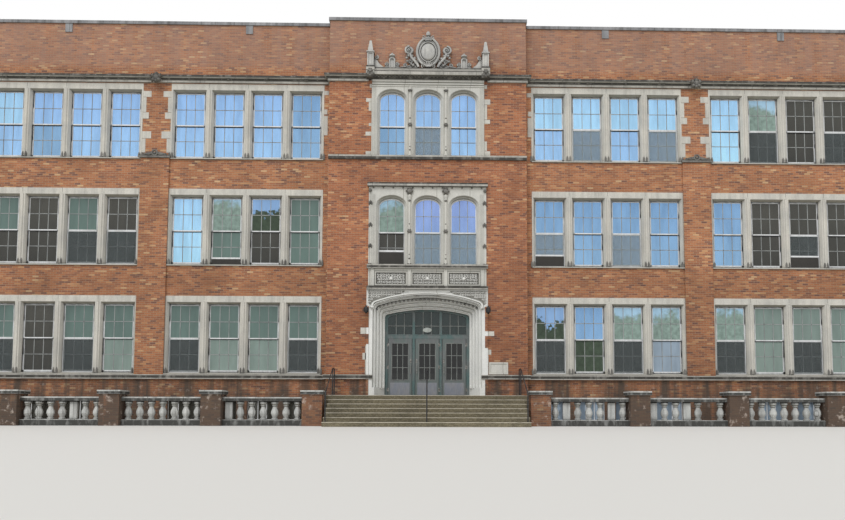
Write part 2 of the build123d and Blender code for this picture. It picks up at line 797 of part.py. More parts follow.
with BuildPart() as upper_triple_frame:
    triple_lights(upper_frame_half_width, upper_light_bottom, upper_frame_top, upper_light_bottom,
        upper_light_top)
    for n in range(label_courses):
        level = upper_frame_top - (label_courses - n) * label_pitch
        block(-upper_frame_half_width, upper_frame_half_width, surround_face - (n + 1) * label_step,
            surround_face, level, level + label_pitch)
save(upper_triple_frame.part, "upper_triple_frame")

# Sashes and glass of the front: window groups, triple windows and basement
with BuildPart() as sashes_front:
    with Locations(*front_planes):
        add(sash_group.part)
    for bottom, top in triple_windows:
        arched_sashes(bottom, top)
    for plane in basement_planes:
        with BuildSketch(plane.offset(-stone_depth - sash_depth)):
            with Locations((0, basement_light_height / 2)):
                with GridLocations(window_pitch, 0, windows_per_bay, 1):
                    Rectangle(light_width, basement_light_height)
                    Rectangle(light_width - 2 * basement_stile,
                        basement_light_height - 2 * basement_stile, mode=Mode.SUBTRACT)
        extrude(amount=sash_depth)
save(sashes_front.part, "sashes_front")

with BuildPart() as glass_front:
    with Locations(*front_planes):
        add(glass_group.part)
    for plane in basement_planes:
        with BuildSketch(plane.offset(-stone_depth - sash_depth)):
            with Locations((0, basement_light_height / 2)):
                with GridLocations(window_pitch, 0, windows_per_bay, 1):
                    Rectangle(light_width, basement_light_height)
        extrude(amount=-glass_thickness)
    for bottom, top in triple_windows:
        with BuildSketch(facade(arched_sash_line + sash_depth)):
            with Locations((0, (bottom + top + glass_cover) / 2)):
                Rectangle(arched_sheet_width, top - bottom + glass_cover)
        extrude(amount=-glass_thickness)
    with BuildSketch(facade(frame_front + frame_depth)):
        add(depressed_arch(frame_half_width - mullion_width / 2, transom_top - glass_cover / 2,
            door_arch_springing - transom_light_rail / 2, door_arch_rise, door_arch_shoulder))
    extrude(amount=-glass_thickness)
save(glass_front.part, "glass_front")

# Mouldings of the triple windows: cornice, sill and apron band of the lower one, cornice of the upper
frame_face = pavilion_face - surround_proud
crest_base = upper_frame_top + crest_bed_height + crest_corona_height + crest_slope_height
crest_line = pavilion_face - crest_depth
with BuildPart() as window_cornices:
    for bottom, height, half in (
        (surround_top, apron_band_height, entrance_half_width),
        (lower_light_bottom - lower_sill_height, lower_sill_height, entrance_half_width),
        (lower_frame_top, oriel_cornice_height, entrance_half_width),
    ):
        block(-half, half, pavilion_face - oriel_cornice_projection, frame_face, bottom, bottom + height)
    block(-entrance_half_width, entrance_half_width, frame_face, pavilion_face, lower_frame_top,
        lower_frame_top + oriel_cornice_height)
    corona_bottom = upper_frame_top + crest_bed_height
    with BuildSketch(Plane.YZ.offset(-crest_half_width)):
        with BuildLine():
            Polyline(
                (pavilion_face, upper_frame_top),
                (pavilion_face - crest_bed_projection, upper_frame_top),
                (pavilion_face - crest_bed_projection, corona_bottom),
                (pavilion_face - crest_cornice_projection, corona_bottom),
                (pavilion_face - crest_cornice_projection, corona_bottom + crest_corona_height),
                (crest_line, crest_base),
                (pavilion_face, crest_base),
                close=True)
        make_face()
    extrude(amount=2 * crest_half_width)
    with BuildSketch(Plane.XY.offset(upper_frame_top)):
        with Locations((0, pavilion_face - crest_end_width / 2)):
            with GridLocations(2 * crest_half_width - crest_end_width, 0, 2, 1):
                Rectangle(crest_end_width, crest_end_width)
    extrude(amount=crest_base - upper_frame_top)
save(window_cornices.part, "window_cornices")

# Crest: pinnacles, urns and cartouche on the upper cornice, against the parapet
with BuildPart() as crest:
    collar_level = crest_base + pinnacle_shaft_height
    pinnacle_line = pavilion_face - crest_end_width / 2
    for bottom, width, height in (
        (crest_base, pinnacle_width, pinnacle_shaft_height),
        (collar_level, crest_end_width, pinnacle_collar_height),
    ):
        with BuildSketch(Plane.XY.offset(bottom)):
            with Locations((0, pinnacle_line)):
                with GridLocations(2 * crest_half_width - crest_end_width, 0, 2, 1):
                    Rectangle(width, width)
        extrude(amount=height)
    for side in (-1, 1):
        spike_place = (side * (crest_half_width - crest_end_width / 2), pinnacle_line)
        spike_bottom = collar_level + pinnacle_collar_height
        with BuildSketch(Plane.XY.offset(spike_bottom)):
            with Locations(spike_place):
                Rectangle(pinnacle_spike_width, pinnacle_spike_width)
        with BuildSketch(Plane.XY.offset(spike_bottom + pinnacle_spike_height)):
            with Locations(spike_place):
                Rectangle(pinnacle_tip_width, pinnacle_tip_width)
        loft()

    # Urns on winged bases
    for side in (-1, 1):
        with BuildSketch(facade(pavilion_face, side * urn_spacing / 2, crest_base)):
            with Locations((0, urn_base_height / 2)):
                Rectangle(urn_base_width, urn_base_height)
            with BuildLine():
                Line((-urn_wing_width / 2, 0), (urn_wing_width / 2, 0))
                ThreePointArc((urn_wing_width / 2, 0), (0, urn_wing_height), (-urn_wing_width / 2, 0))
            make_face()
        extrude(amount=crest_depth)
        carved(side * urn_spacing / 2, pavilion_face - urn_radius, crest_base + urn_base_height,
            urn_radius, urn_height, urn_profile)

    # Cartouche between two volutes on curved brackets
    with BuildSketch(facade(pavilion_face, 0, crest_base)):
        with Locations((0, cartouche_height / 2)):
            RectangleRounded(2 * cartouche_half_width, cartouche_height, cartouche_corner)
        with Locations((0, volute_level)):
            with GridLocations(volute_spacing, 0, 2, 1):
                Circle(volute_radius)
        for side in (-1, 1):
            with BuildLine():
                Line((0, 0), (side * bracket_foot_half, 0))
                ThreePointArc((side * bracket_foot_half, 0),
                    (side * (volute_spacing / 2 - volute_radius / 2), volute_level / 4),
                    (side * volute_spacing / 2, volute_level - volute_radius))
                Line((side * volute_spacing / 2, volute_level - volute_radius),
                    (side * cartouche_half_width / 2, volute_level))
                Line((side * cartouche_half_width / 2, volute_level), (0, 0))
            make_face()
    extrude(amount=crest_depth - shield_relief)
    with BuildSketch(facade(crest_line + shield_relief, 0, crest_base)):
        with Locations((0, cartouche_height / 2)):
            RectangleRounded(2 * shield_half_width, 2 * shield_half_height, shield_corner)
        with Locations((0, volute_level)):
            with GridLocations(volute_spacing, 0, 2, 1):
                Circle(volute_eye_radius)
    extrude(amount=shield_relief)
    carved(0, pavilion_face - crest_depth / 2, crest_base + cartouche_height - finial_radius,
        finial_radius, finial_height, finial_profile)
save(crest.part, "crest")

# Handrails: one at each end of the flight and one in its middle
rail_head = landing_front + rail_inset
rail_foot = landing_front - (riser_count - 1) * tread + tread / 2
rail_drop = (riser_count - 1) * riser
with BuildPart() as handrails:
    for x in (rail_inset - steps_half_width, 0.0, steps_half_width - rail_inset):
        with BuildLine() as route:
            Polyline(
                (x, rail_head + rail_post_spacing, entry_level),
                (x, rail_head + rail_post_spacing, entry_level + rail_above_nosing),
                (x, rail_head, entry_level + rail_above_nosing),
                (x, rail_foot, entry_level - rail_drop + rail_above_nosing),
                (x, rail_foot, riser))
        with BuildSketch(Plane(origin=route.line @ 0, z_dir=route.line % 0)):
            RegularPolygon(rail_pipe_radius, rail_pipe_sides)
        sweep(path=route.line, transition=Transition.RIGHT)
        with BuildSketch(Plane(origin=(x, rail_head, entry_level))):
            RegularPolygon(rail_pipe_radius, rail_pipe_sides)
        extrude(amount=rail_above_nosing)
save(handrails.part, "handrails")

# Lamps beside the arch, each on an arm
with BuildPart() as wall_lamps:
    lamp_line = surround_face - lamp_arm
    arm_level = lamp_bottom + lamp_height / 2
    for side in (-1, 1):
        block(side * lamp_x - lamp_arm_width / 2, side * lamp_x + lamp_arm_width / 2,
            lamp_line, surround_face, arm_level - lamp_arm_width / 2, arm_level + lamp_arm_width / 2)
        carved(side * lamp_x, lamp_line, lamp_bottom, lamp_radius, lamp_height, lamp_profile)
save(wall_lamps.part, "wall_lamps")
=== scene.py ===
import math

import bpy
from mathutils import Matrix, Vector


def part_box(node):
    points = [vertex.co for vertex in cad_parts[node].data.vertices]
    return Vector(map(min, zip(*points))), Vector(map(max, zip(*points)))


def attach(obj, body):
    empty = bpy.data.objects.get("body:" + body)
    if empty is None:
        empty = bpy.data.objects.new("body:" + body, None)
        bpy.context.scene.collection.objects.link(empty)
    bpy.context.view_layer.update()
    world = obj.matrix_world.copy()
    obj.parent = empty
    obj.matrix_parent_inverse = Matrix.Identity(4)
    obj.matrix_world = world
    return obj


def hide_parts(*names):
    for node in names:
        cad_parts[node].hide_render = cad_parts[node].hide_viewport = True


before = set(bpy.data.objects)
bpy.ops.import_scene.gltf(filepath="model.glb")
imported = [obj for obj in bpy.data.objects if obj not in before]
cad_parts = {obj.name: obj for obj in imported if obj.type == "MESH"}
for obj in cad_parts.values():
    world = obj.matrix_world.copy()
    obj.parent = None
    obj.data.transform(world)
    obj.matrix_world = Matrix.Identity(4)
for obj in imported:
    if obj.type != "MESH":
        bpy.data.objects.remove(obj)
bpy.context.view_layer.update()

scene = bpy.context.scene
scene.view_settings.view_transform = "Standard"


# camera, floor and light

cameraSet = {
    "place": (0.037, -26.236, 0.477),
    "turn": -1.163,  # degrees to the right of straight ahead
    "tilt": 4.106,  # degrees above level
    "roll": 0.117,
    "lens": 30.674,
    "shift": (-0.0239, 0.1190),
}
camera = bpy.data.objects.new("camera", bpy.data.cameras.new("camera"))
scene.collection.objects.link(camera)
scene.camera = camera
camera.data.sensor_width = 36
camera.data.lens = cameraSet["lens"]
camera.data.shift_x, camera.data.shift_y = cameraSet["shift"]
camera.matrix_world = (
    Matrix.Translation(cameraSet["place"])
    @ Matrix.Rotation(math.radians(cameraSet["turn"]), 4, "Z")
    @ Matrix.Rotation(math.radians(90 + cameraSet["tilt"]), 4, "X")
    @ Matrix.Rotation(math.radians(cameraSet["roll"]), 4, "Z")
)

lightSet = {
    "world": 0.62,
    "sun": 1.5,
    "sunSize": 34,  # degrees, soft as through thin cloud
    "sunTurn": (38, 0, -24),
    "floorColour": (0.72, 0.71, 0.68),
    "floorSize": 900,
}


# node helpers: each adds its node to the tree of the sockets that it is given

materials = {}


def newMaterial(name, roughness):
    materials[name] = bpy.data.materials.new(name)
    materials[name].use_nodes = True
    tree = materials[name].node_tree
    shader = tree.nodes["Principled BSDF"]
    shader.inputs["Roughness"].default_value = roughness
    return tree, shader


def isSocket(value):
    return isinstance(value, bpy.types.NodeSocket)


def link(value, socket):
    if isSocket(value):
        socket.id_data.links.new(value, socket)
    else:
        socket.default_value = value


def newNode(kind, *values):
    return next(value.id_data for value in values if isSocket(value)).nodes.new("ShaderNode" + kind)


def maths(operation, *values):
    node = newNode("Math", *values)
    node.operation = operation
    for socket, value in zip(node.inputs, values):
        link(value, socket)
    return node.outputs[0]


def plus(first, second):
    return maths("ADD", first, second)


def minus(first, second):
    return maths("SUBTRACT", first, second)


def times(first, second):
    return maths("MULTIPLY", first, second)


def over(first, second):
    return maths("DIVIDE", first, second)


def objectPlace(tree, scale=(1, 1, 1)):
    place = tree.nodes.new("ShaderNodeTexCoord")
    mapping = tree.nodes.new("ShaderNodeMapping")
    mapping.inputs["Scale"].default_value = scale
    link(place.outputs["Object"], mapping.inputs["Vector"])
    return mapping.outputs["Vector"]


def split(vector):
    node = newNode("SeparateXYZ", vector)
    link(vector, node.inputs[0])
    return node.outputs


def upwards(tree):
    return split(tree.nodes.new("ShaderNodeNewGeometry").outputs["Normal"])[2]


def noise(tree, scale, detail=3.0, stretch=(1, 1, 1), rough=0.6):
    node = tree.nodes.new("ShaderNodeTexNoise")
    node.inputs["Scale"].default_value = scale
    node.inputs["Detail"].default_value = detail
    node.inputs["Roughness"].default_value = rough
    link(objectPlace(tree, stretch), node.inputs["Vector"])
    return node.outputs["Fac"]


def cellNoise(first, second):
    place = newNode("CombineXYZ", first)
    link(first, place.inputs[0])
    link(second, place.inputs[1])
    node = newNode("TexWhiteNoise", first)
    link(place.outputs[0], node.inputs["Vector"])
    return node.outputs["Value"]


def fromTo(value, low, high, newLow=0.0, newHigh=1.0):
    node = newNode("MapRange", value)
    node.clamp = True
    for socket, part in zip(node.inputs, (value, low, high, newLow, newHigh)):
        link(part, socket)
    return node.outputs[0]


def ramp(value, stops):
    node = newNode("ValToRGB", value)
    link(value, node.inputs[0])
    points = node.color_ramp.elements
    for index, (place, colour) in enumerate(stops):
        point = points[index] if index < 2 else points.new(place)
        point.position = place
        point.color = (*colour, 1)
    return node.outputs[0]


def blend(factor, first, second, way="MIX"):
    node = newNode("Mix", factor, first, second)
    node.data_type = "RGBA"
    node.blend_type = way
    link(factor, node.inputs[0])
    for socket, colour in zip((node.inputs[6], node.inputs[7]), (first, second)):
        link(colour if isSocket(colour) else (*colour, 1), socket)
    return node.outputs[2]


def tint(colour, amount):
    return blend(1.0, colour, amount, "MULTIPLY")


def shade(colour, amount):
    grey = newNode("CombineColor", amount)
    for socket in grey.inputs:
        link(amount, socket)
    return tint(colour, grey.outputs[0])


# ambient occlusion: darker where a point is enclosed; it paints shade into corners
def corners(tree, distance):
    node = tree.nodes.new("ShaderNodeAmbientOcclusion")
    node.samples = 4
    node.inputs["Distance"].default_value = distance
    return node.outputs["AO"]


def coat(shader, colour, height, distance):
    link(colour, shader.inputs["Base Color"])
    node = newNode("Bump", height)
    node.inputs["Strength"].default_value = 1.0
    node.inputs["Distance"].default_value = distance
    link(height, node.inputs["Height"])
    link(node.outputs[0], shader.inputs["Normal"])


# brick

brickSet = {
    "course": 0.0677,
    "length": 0.213,
    "joint": 0.0055,
    "clays": (
        (0.0, (0.185, 0.086, 0.066)),
        (0.12, (0.30, 0.122, 0.068)),
        (0.5, (0.415, 0.162, 0.074)),
        (0.85, (0.475, 0.198, 0.092)),
        (0.96, (0.55, 0.275, 0.13)),
        (1.0, (0.62, 0.40, 0.22)),
    ),
    "mortar": (0.44, 0.315, 0.205),
    "dust": (0.37, 0.240, 0.190),
    "shaded": (5.3, 5.9),  # the wall is painted darker below this height, a painted shade
    "damp": (0.075, 0.062, 0.050),
    "salt": (0.62, 0.53, 0.46),
    "saltTop": (1.45, 1.66),
    "bloomShare": {"brick": 0.45, "pierBrick": 0.9},
    "pavilionTint": (0.95, 0.88, 0.88),
    "pavilionHalf": (3.6, 3.7),
    "pavilionTop": (12.9, 13.2),
    "parapetFrom": 13.15,
    "plinthTop": 1.66,
}


def brickMaterial(name, damp, wetFrom):
    s = brickSet
    tree, shader = newMaterial(name, 0.9)
    x, y, z = split(objectPlace(tree))
    rows = over(z, s["course"])
    row = maths("FLOOR", rows)
    shift = times(maths("FLOORED_MODULO", row, 2.0), 0.5)
    columns = plus(over(plus(x, y), s["length"]), shift)
    toEdge = []
    for cell, size in ((columns, s["length"]), (rows, s["course"])):
        part = maths("FRACT", cell)
        toEdge.append(times(maths("MINIMUM", part, minus(1.0, part)), size))
    face = fromTo(maths("MINIMUM", *toEdge), s["joint"] * 0.6, s["joint"] * 1.5)
    grain = fromTo(noise(tree, 55, 4), 0.3, 0.7, 0.78, 1.18)
    clay = shade(ramp(cellNoise(maths("FLOOR", columns), row), s["clays"]), grain)
    colour = blend(face, s["mortar"], clay)
    colour = shade(colour, fromTo(noise(tree, 0.55, 5), 0.35, 0.65, 0.80, 1.14))
    # painted shade: the wall is darker below the shaded height
    colour = shade(colour, fromTo(z, *s["shaded"], 0.86, 1.02))
    fromMiddle = maths("ABSOLUTE", x)
    pavilion = times(fromTo(fromMiddle, *s["pavilionHalf"], 1.0, 0.0), fromTo(z, *s["pavilionTop"], 1.0, 0.3))
    colour = blend(pavilion, colour, tint(colour, s["pavilionTint"]))
    streaks = noise(tree, 1.0, 5, (2.6, 2.6, 0.22))
    faded = times(fromTo(z, s["parapetFrom"], s["parapetFrom"] + 0.3), fromTo(streaks, 0.3, 0.6, 0.15, 0.55))
    colour = blend(faded, colour, s["dust"])
    wet = times(fromTo(plus(streaks, times(z, -0.09)), wetFrom, wetFrom + 0.24),
        fromTo(z, s["plinthTop"] - 0.02, s["plinthTop"], damp, 0.0))
    if name == "pierBrick":
        wet = times(wet, fromTo(fromMiddle, 4.3, 5.5, 0.5, 1.0))
    colour = blend(wet, colour, s["damp"])
    bloom = times(fromTo(noise(tree, 4.5, 6), 0.58, 0.68, 0.0, 0.7), fromTo(z, *s["saltTop"], 1.0, 0.0))
    colour = blend(times(bloom, s["bloomShare"][name]), colour, s["salt"])
    coat(shader, colour, plus(face, times(grain, 0.18)), 0.006)


# dressed stone, clean on the frames and dark on what the rain meets, with painted shade in corners, in bands
# under the courses and on faces that look down pale, cool, and a dark colour for grime and painted shade; dirt
# on tops and in streaks; painted shade with grime in corners; how far that corner shade reaches

stoneSets = {
    "frameStone": ((0.68, 0.655, 0.585), (0.56, 0.55, 0.505), (0.105, 0.095, 0.080), 0.6, 0.26, 0.8, 0.16),
    "entranceStone": ((0.87, 0.875, 0.845), (0.80, 0.81, 0.79), (0.22, 0.21, 0.155), 0.4, 0.08, 0.24, 0.03),
    "tripleStone": ((0.70, 0.69, 0.635), (0.60, 0.595, 0.555), (0.17, 0.16, 0.115), 0.4, 0.12, 0.55, 0.05),
    "corniceStone": ((0.60, 0.585, 0.53), (0.44, 0.43, 0.395), (0.045, 0.042, 0.038), 0.9, 0.35, 0.5, 0.06),
    "bandStone": ((0.56, 0.54, 0.49), (0.40, 0.39, 0.355), (0.045, 0.042, 0.036), 0.55, 0.35, 0.6, 0.1),
    "railStone": ((0.66, 0.665, 0.64), (0.48, 0.49, 0.475), (0.040, 0.040, 0.036), 0.35, 0.55, 1.0, 0.16),
    "copingStone": ((0.36, 0.36, 0.37), (0.21, 0.215, 0.225), (0.055, 0.050, 0.044), 0.9, 0.65, 0.7, 0.12),
    "carvedStone": ((0.66, 0.65, 0.605), (0.46, 0.46, 0.45), (0.055, 0.052, 0.048), 0.7, 0.40, 1.0, 0.13),
    "laceStone": ((0.93, 0.93, 0.90), (0.88, 0.88, 0.85), (0.30, 0.29, 0.25), 0.3, 0.08, 0.30, 0.02),
    "bossStone": ((0.25, 0.24, 0.22), (0.13, 0.125, 0.115), (0.035, 0.033, 0.030), 0.5, 0.5, 0.9, 0.10),
    "groundStone": ((0.30, 0.295, 0.265), (0.20, 0.197, 0.178), (0.04, 0.038, 0.032), 0.5, 0.4, 0.8, 0.05),
}
shadowAndDirtBands = {  # heights between which the stone is painted nearly black: painted shadow under the projecting courses, with weathering
    "corniceStone": ((12.878, 12.97), (12.785, 12.842)),
    "bandStone": ((1.69, 1.795), (9.74, 9.845), (8.80, 8.90), (8.715, 8.745), (5.705, 5.79), (4.955, 5.05),
        (13.12, 13.30), (12.98, 13.02), (12.74, 12.86)),
    "railStone": ((0.0, 0.20), (0.80, 0.945), (1.08, 1.17)),
}
paintedSoffitShade = (0.17, 0.155, 0.105)  # stone that faces down is painted dark olive: painted shade, with some damp
jointSet = {"pitch": 1.22, "lights": 1.44, "bay": 6.71, "storey": 3.985, "sill": 1.8198, "head": 2.73,
    "width": 0.006, "depth": 0.004}


def stoneMaterial(name):
    pale, cool, grimeAndShade, topDirt, streakDirt, cornerShadeAndDirt, reach = stoneSets[name]
    tree, shader = newMaterial(name, 0.85)
    x, y, z = split(objectPlace(tree))
    colour = blend(fromTo(noise(tree, 1.3, 6), 0.36, 0.64), pale, cool)
    grain = fromTo(noise(tree, 38, 5), 0.3, 0.7, 0.86, 1.10)
    colour = shade(colour, grain)
    pitch, along = jointSet["pitch"], plus(x, y)
    if name == "frameStone":
        pitch = jointSet["lights"]
        along = minus(x, maths("SNAP", plus(x, jointSet["bay"] / 2), jointSet["bay"]))
    nearest = maths("ABSOLUTE", minus(maths("FRACT", plus(over(along, pitch), 0.5)), 0.5))
    joint = fromTo(nearest, jointSet["width"] / pitch * 0.6, jointSet["width"] / pitch)
    if name == "frameStone":
        storey = maths("FLOORED_MODULO", minus(z, jointSet["sill"]), jointSet["storey"])
        head = jointSet["head"]
        joint = maths("MAXIMUM", joint, fromTo(storey, head - 0.01, head, 1.0, 0.0))
    runs = fromTo(noise(tree, 1.0, 6, (6.0, 6.0, 0.5)), 0.45, 0.70, 0.0, streakDirt)
    tops = times(fromTo(upwards(tree), 0.25, 0.7), fromTo(noise(tree, 6, 4), 0.2, 0.5, 0.4, topDirt))
    # painted shade, with grime, in corners and recesses, from the occlusion
    hollowShadeAndDirt = fromTo(corners(tree, reach), 0.35, 0.92, cornerShadeAndDirt, 0.0)
    dirtAndShade = maths("MAXIMUM", maths("MAXIMUM", runs, tops), hollowShadeAndDirt)
    # dark bands: painted shadow under the projecting courses, with weathering
    for low, high in shadowAndDirtBands.get(name, ()):
        band = times(fromTo(z, low, low + 0.008), fromTo(z, high - 0.008, high, 1.0, 0.0))
        band = times(band, fromTo(noise(tree, 1.6, 5, (3, 3, 1)), 0.3, 0.5, 0.55, 0.97))
        dirtAndShade = maths("MAXIMUM", dirtAndShade, band)
    # faces that look down take the painted soffit shade
    colour = blend(fromTo(upwards(tree), -0.75, -0.30, 0.7, 0.0), colour, paintedSoffitShade)
    colour = blend(dirtAndShade, colour, grimeAndShade)
    coat(shader, blend(joint, grimeAndShade, colour), plus(grain, joint), jointSet["depth"])


# concrete of the steps, pale along each nosing, and of the floors

concreteSet = {
    "aggregate": ((0.0, (0.060, 0.054, 0.034)), (0.45, (0.145, 0.126, 0.080)), (0.62, (0.225, 0.195, 0.13)),
        (1.0, (0.40, 0.36, 0.27))),
    "nosing": (0.72, 0.67, 0.56),
    "riser": 0.1524,
    "tread": 0.305,
    "landingFront": -1.07,
}


def concreteMaterial(name, nosings):
    s = concreteSet
    tree, shader = newMaterial(name, 0.88)
    x, y, z = split(objectPlace(tree))
    stones = noise(tree, 42, 6, rough=0.75)
    colour = ramp(stones, s["aggregate"])
    colour = shade(colour, fromTo(noise(tree, 0.9, 5), 0.3, 0.7, 0.72, 1.25))
    colour = shade(colour, fromTo(noise(tree, 13, 3, (1, 1, 2)), 0.35, 0.65, 0.70, 1.25))
    if nosings:
        front = s["landingFront"]
        rise = maths("FRACT", over(minus(z, 0.0005), s["riser"]))
        back = maths("FRACT", over(minus(y, front + 0.0005), s["tread"]))
        up = fromTo(upwards(tree), 0.45, 0.55)
        beforeDoors = fromTo(y, front + 0.1, front + 0.11, 1.0, 0.0)
        onTop = times(fromTo(back, 0.09, 0.14, 1.0, 0.0), beforeDoors)
        edge = plus(times(up, onTop), times(minus(1.0, up), fromTo(rise, 0.88, 0.92)))
        edge = times(edge, fromTo(noise(tree, 5, 4), 0.30, 0.55, 0.45, 1.0))
        colour = blend(edge, colour, s["nosing"])
    coat(shader, colour, stones, 0.004)


# roof membrane, in strips

roofSet = {"strip": 1.0, "lap": 0.035, "dark": (0.045, 0.045, 0.048), "dusty": (0.12, 0.12, 0.115)}


def roofMaterial(name):
    s = roofSet
    tree, shader = newMaterial(name, 0.8)
    colour = blend(fromTo(noise(tree, 0.35, 6), 0.35, 0.65), s["dark"], s["dusty"])
    part = maths("FRACT", over(split(objectPlace(tree))[0], s["strip"]))
    colour = shade(colour, fromTo(part, 0.0, s["lap"], 0.45, 1.0))
    coat(shader, colour, plus(part, noise(tree, 30, 4)), 0.004)


# paint, worn to its undercoat in places: fresh and worn colour, where the wear starts, roughness

paintSets = {
    "sashPaint": ((0.76, 0.775, 0.785), (0.62, 0.63, 0.63), 0.55, 0.5),
    "barPaint": ((0.33, 0.345, 0.34), (0.24, 0.25, 0.25), 0.52, 0.5),
    "doorBarPaint": ((0.215, 0.23, 0.22), (0.16, 0.17, 0.165), 0.52, 0.5),
    "platePaint": ((0.50, 0.53, 0.50), (0.36, 0.39, 0.37), 0.52, 0.5),
    # dark rubber for the door seals; the same finish paints the shadow strips under the meeting rails
    "sealRubberAndShadow": ((0.022, 0.022, 0.023), (0.050, 0.048, 0.045), 0.58, 0.7),
    "framePaint": ((0.088, 0.150, 0.148), (0.165, 0.185, 0.185), 0.50, 0.45),
    "doorPaint": ((0.125, 0.155, 0.148), (0.165, 0.175, 0.178), 0.52, 0.45),
    "panelPaint": ((0.215, 0.232, 0.275), (0.26, 0.265, 0.285), 0.50, 0.45),
    "railPaint": ((0.018, 0.018, 0.020), (0.085, 0.060, 0.045), 0.60, 0.4),
    "lampMetal": ((0.020, 0.020, 0.021), (0.070, 0.062, 0.050), 0.57, 0.5),
}


def paintMaterial(name):
    fresh, worn, wear, gloss = paintSets[name]
    tree, shader = newMaterial(name, gloss)
    patches = fromTo(noise(tree, 3.2, 6, (1, 1, 0.45)), wear - 0.08, wear + 0.08)
    brush = noise(tree, 40, 4, (1, 1, 0.12))
    colour = shade(blend(patches, fresh, worn), fromTo(brush, 0.3, 0.7, 0.86, 1.12))
    link(fromTo(patches, 0.0, 1.0, gloss, gloss + 0.3), shader.inputs["Roughness"])
    coat(shader, colour, brush, 0.0008)


metalSet = {"bright": (0.36, 0.35, 0.33), "dull": (0.12, 0.115, 0.105)}


def metalMaterial(name):
    tree, shader = newMaterial(name, 0.35)
    shader.inputs["Metallic"].default_value = 1.0
    wear = fromTo(noise(tree, 26, 5), 0.38, 0.62)
    link(fromTo(wear, 0.0, 1.0, 0.28, 0.6), shader.inputs["Roughness"])
    coat(shader, blend(wear, metalSet["bright"], metalSet["dull"]), noise(tree, 120, 3), 0.0004)


# panes, with what they reflect or hold: the sky colours are painted reflections and the dark panes painted
# shade of the rooms behind; colour at the foot and the head, how solid, how much a mirror

paneSets = {
    "paneSky": ((0.44, 0.76, 0.97), (0.38, 0.64, 0.93), 0.94, 0.75),
    "paneLight": ((0.36, 0.60, 0.90), (0.30, 0.50, 0.84), 0.94, 0.75),
    "paneBlue": ((0.27, 0.46, 0.68), (0.21, 0.38, 0.63), 0.94, 0.75),
    "paneViolet": ((0.27, 0.43, 0.73), (0.30, 0.41, 0.78), 0.94, 0.75),
    "paneMist": ((0.25, 0.325, 0.29), (0.195, 0.265, 0.24), 0.92, 0.25),
    "paneTeal": ((0.15, 0.23, 0.205), (0.115, 0.175, 0.158), 0.92, 0.25),
    "paneHalf": ((0.052, 0.075, 0.050), (0.27, 0.45, 0.74), 0.92, 0.55),
    "paneGreen": ((0.235, 0.325, 0.285), (0.40, 0.62, 0.80), 0.92, 0.35),
    "panePale": ((0.30, 0.38, 0.46), (0.33, 0.42, 0.52), 0.92, 0.3),
    "paneDark": ((0.044, 0.044, 0.038), (0.075, 0.074, 0.062), 0.90, 0.2),
    "doorPane": ((0.008, 0.009, 0.009), (0.018, 0.020, 0.019), 0.95, 0.1),
    "transomPane": ((0.030, 0.042, 0.041), (0.048, 0.064, 0.063), 0.92, 0.3),
    "roomShadePane": ((0.030, 0.027, 0.022), (0.055, 0.050, 0.042), 0.85, 0.1),
}
edgeSteps = {"paneHalf": (0.74, 0.77), "paneGreen": (0.80, 0.92)}  # where the dark foot, a painted reflection, gives way to the painted sky at the head
lightHeights = {"storey": 3.985, "foot": 1.900, "height": 2.58}


def centred(value):
    return minus(value, 0.5)


def paneMaterial(name):
    low, high, solid, mirror = paneSets[name]
    tree, shader = newMaterial(name, 0.06)
    z = split(objectPlace(tree))[2]
    shader.inputs["Alpha"].default_value = solid
    shader.inputs["Metallic"].default_value = mirror
    # the painted reflection grades from the foot to the head of each light
    height = maths("FLOORED_MODULO", minus(z, lightHeights["foot"]), lightHeights["storey"])
    height = over(height, lightHeights["height"])
    if name in edgeSteps:
        ragged = plus(times(centred(noise(tree, 0.8, 6)), 0.9), times(centred(noise(tree, 9, 4)), 0.25))
        mottled = fromTo(noise(tree, 7, 5), 0.3, 0.7, 0.7, 1.35)
        foot = shade(low, mottled)
        colour = blend(fromTo(plus(height, ragged), *edgeSteps[name]), foot, high)
    else:
        colour = blend(fromTo(plus(height, times(noise(tree, 1.1, 3), 0.5)), 0.2, 1.3), low, high)
    streaks = fromTo(noise(tree, 1.0, 4, (3, 3, 0.6)), 0.35, 0.65, 0.88, 1.10)
    coat(shader, shade(colour, streaks), noise(tree, 2.2, 2, (1, 1, 0.5)), 0.003)


# blinds and insect screens: colour, a darker colour in bands that is a painted shade of folds, how solid

clothSets = {
    "blindCloth": ((0.17, 0.245, 0.205), (0.12, 0.175, 0.15), 1.0),
    "screenCloth": ((0.37, 0.40, 0.38), (0.33, 0.36, 0.345), 0.27),
    # the same screen cloth painted darker where it covers a dark room: a painted shade
    "shadedScreenCloth": ((0.125, 0.15, 0.155), (0.105, 0.125, 0.13), 0.34),
}


def clothMaterial(name):
    plain, foldShade, solid = clothSets[name]
    tree, shader = newMaterial(name, 0.9)
    shader.inputs["Alpha"].default_value = solid
    weave = maths("ABSOLUTE", maths("SINE", times(split(objectPlace(tree))[2], 1500)))
    # bands of the painted fold shade
    colour = blend(fromTo(noise(tree, 1.6, 4, (1, 1, 2.5)), 0.35, 0.65), plain, foldShade)
    coat(shader, shade(colour, fromTo(weave, 0.0, 1.0, 0.9, 1.06)), weave, 0.0003)


brickMaterial("brick", 0.88, 0.26)
brickMaterial("pierBrick", 0.86, 0.14)
concreteMaterial("concreteSteps", True)
concreteMaterial("concreteFloor", False)
roofMaterial("roofing")
metalMaterial("hardware")
for makeMaterial, names in ((stoneMaterial, stoneSets), (paintMaterial, paintSets), (paneMaterial, paneSets),
        (clothMaterial, clothSets)):
    for name in names:
        makeMaterial(name)
print("finishes made:", len(materials))


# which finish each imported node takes; the walls are brick

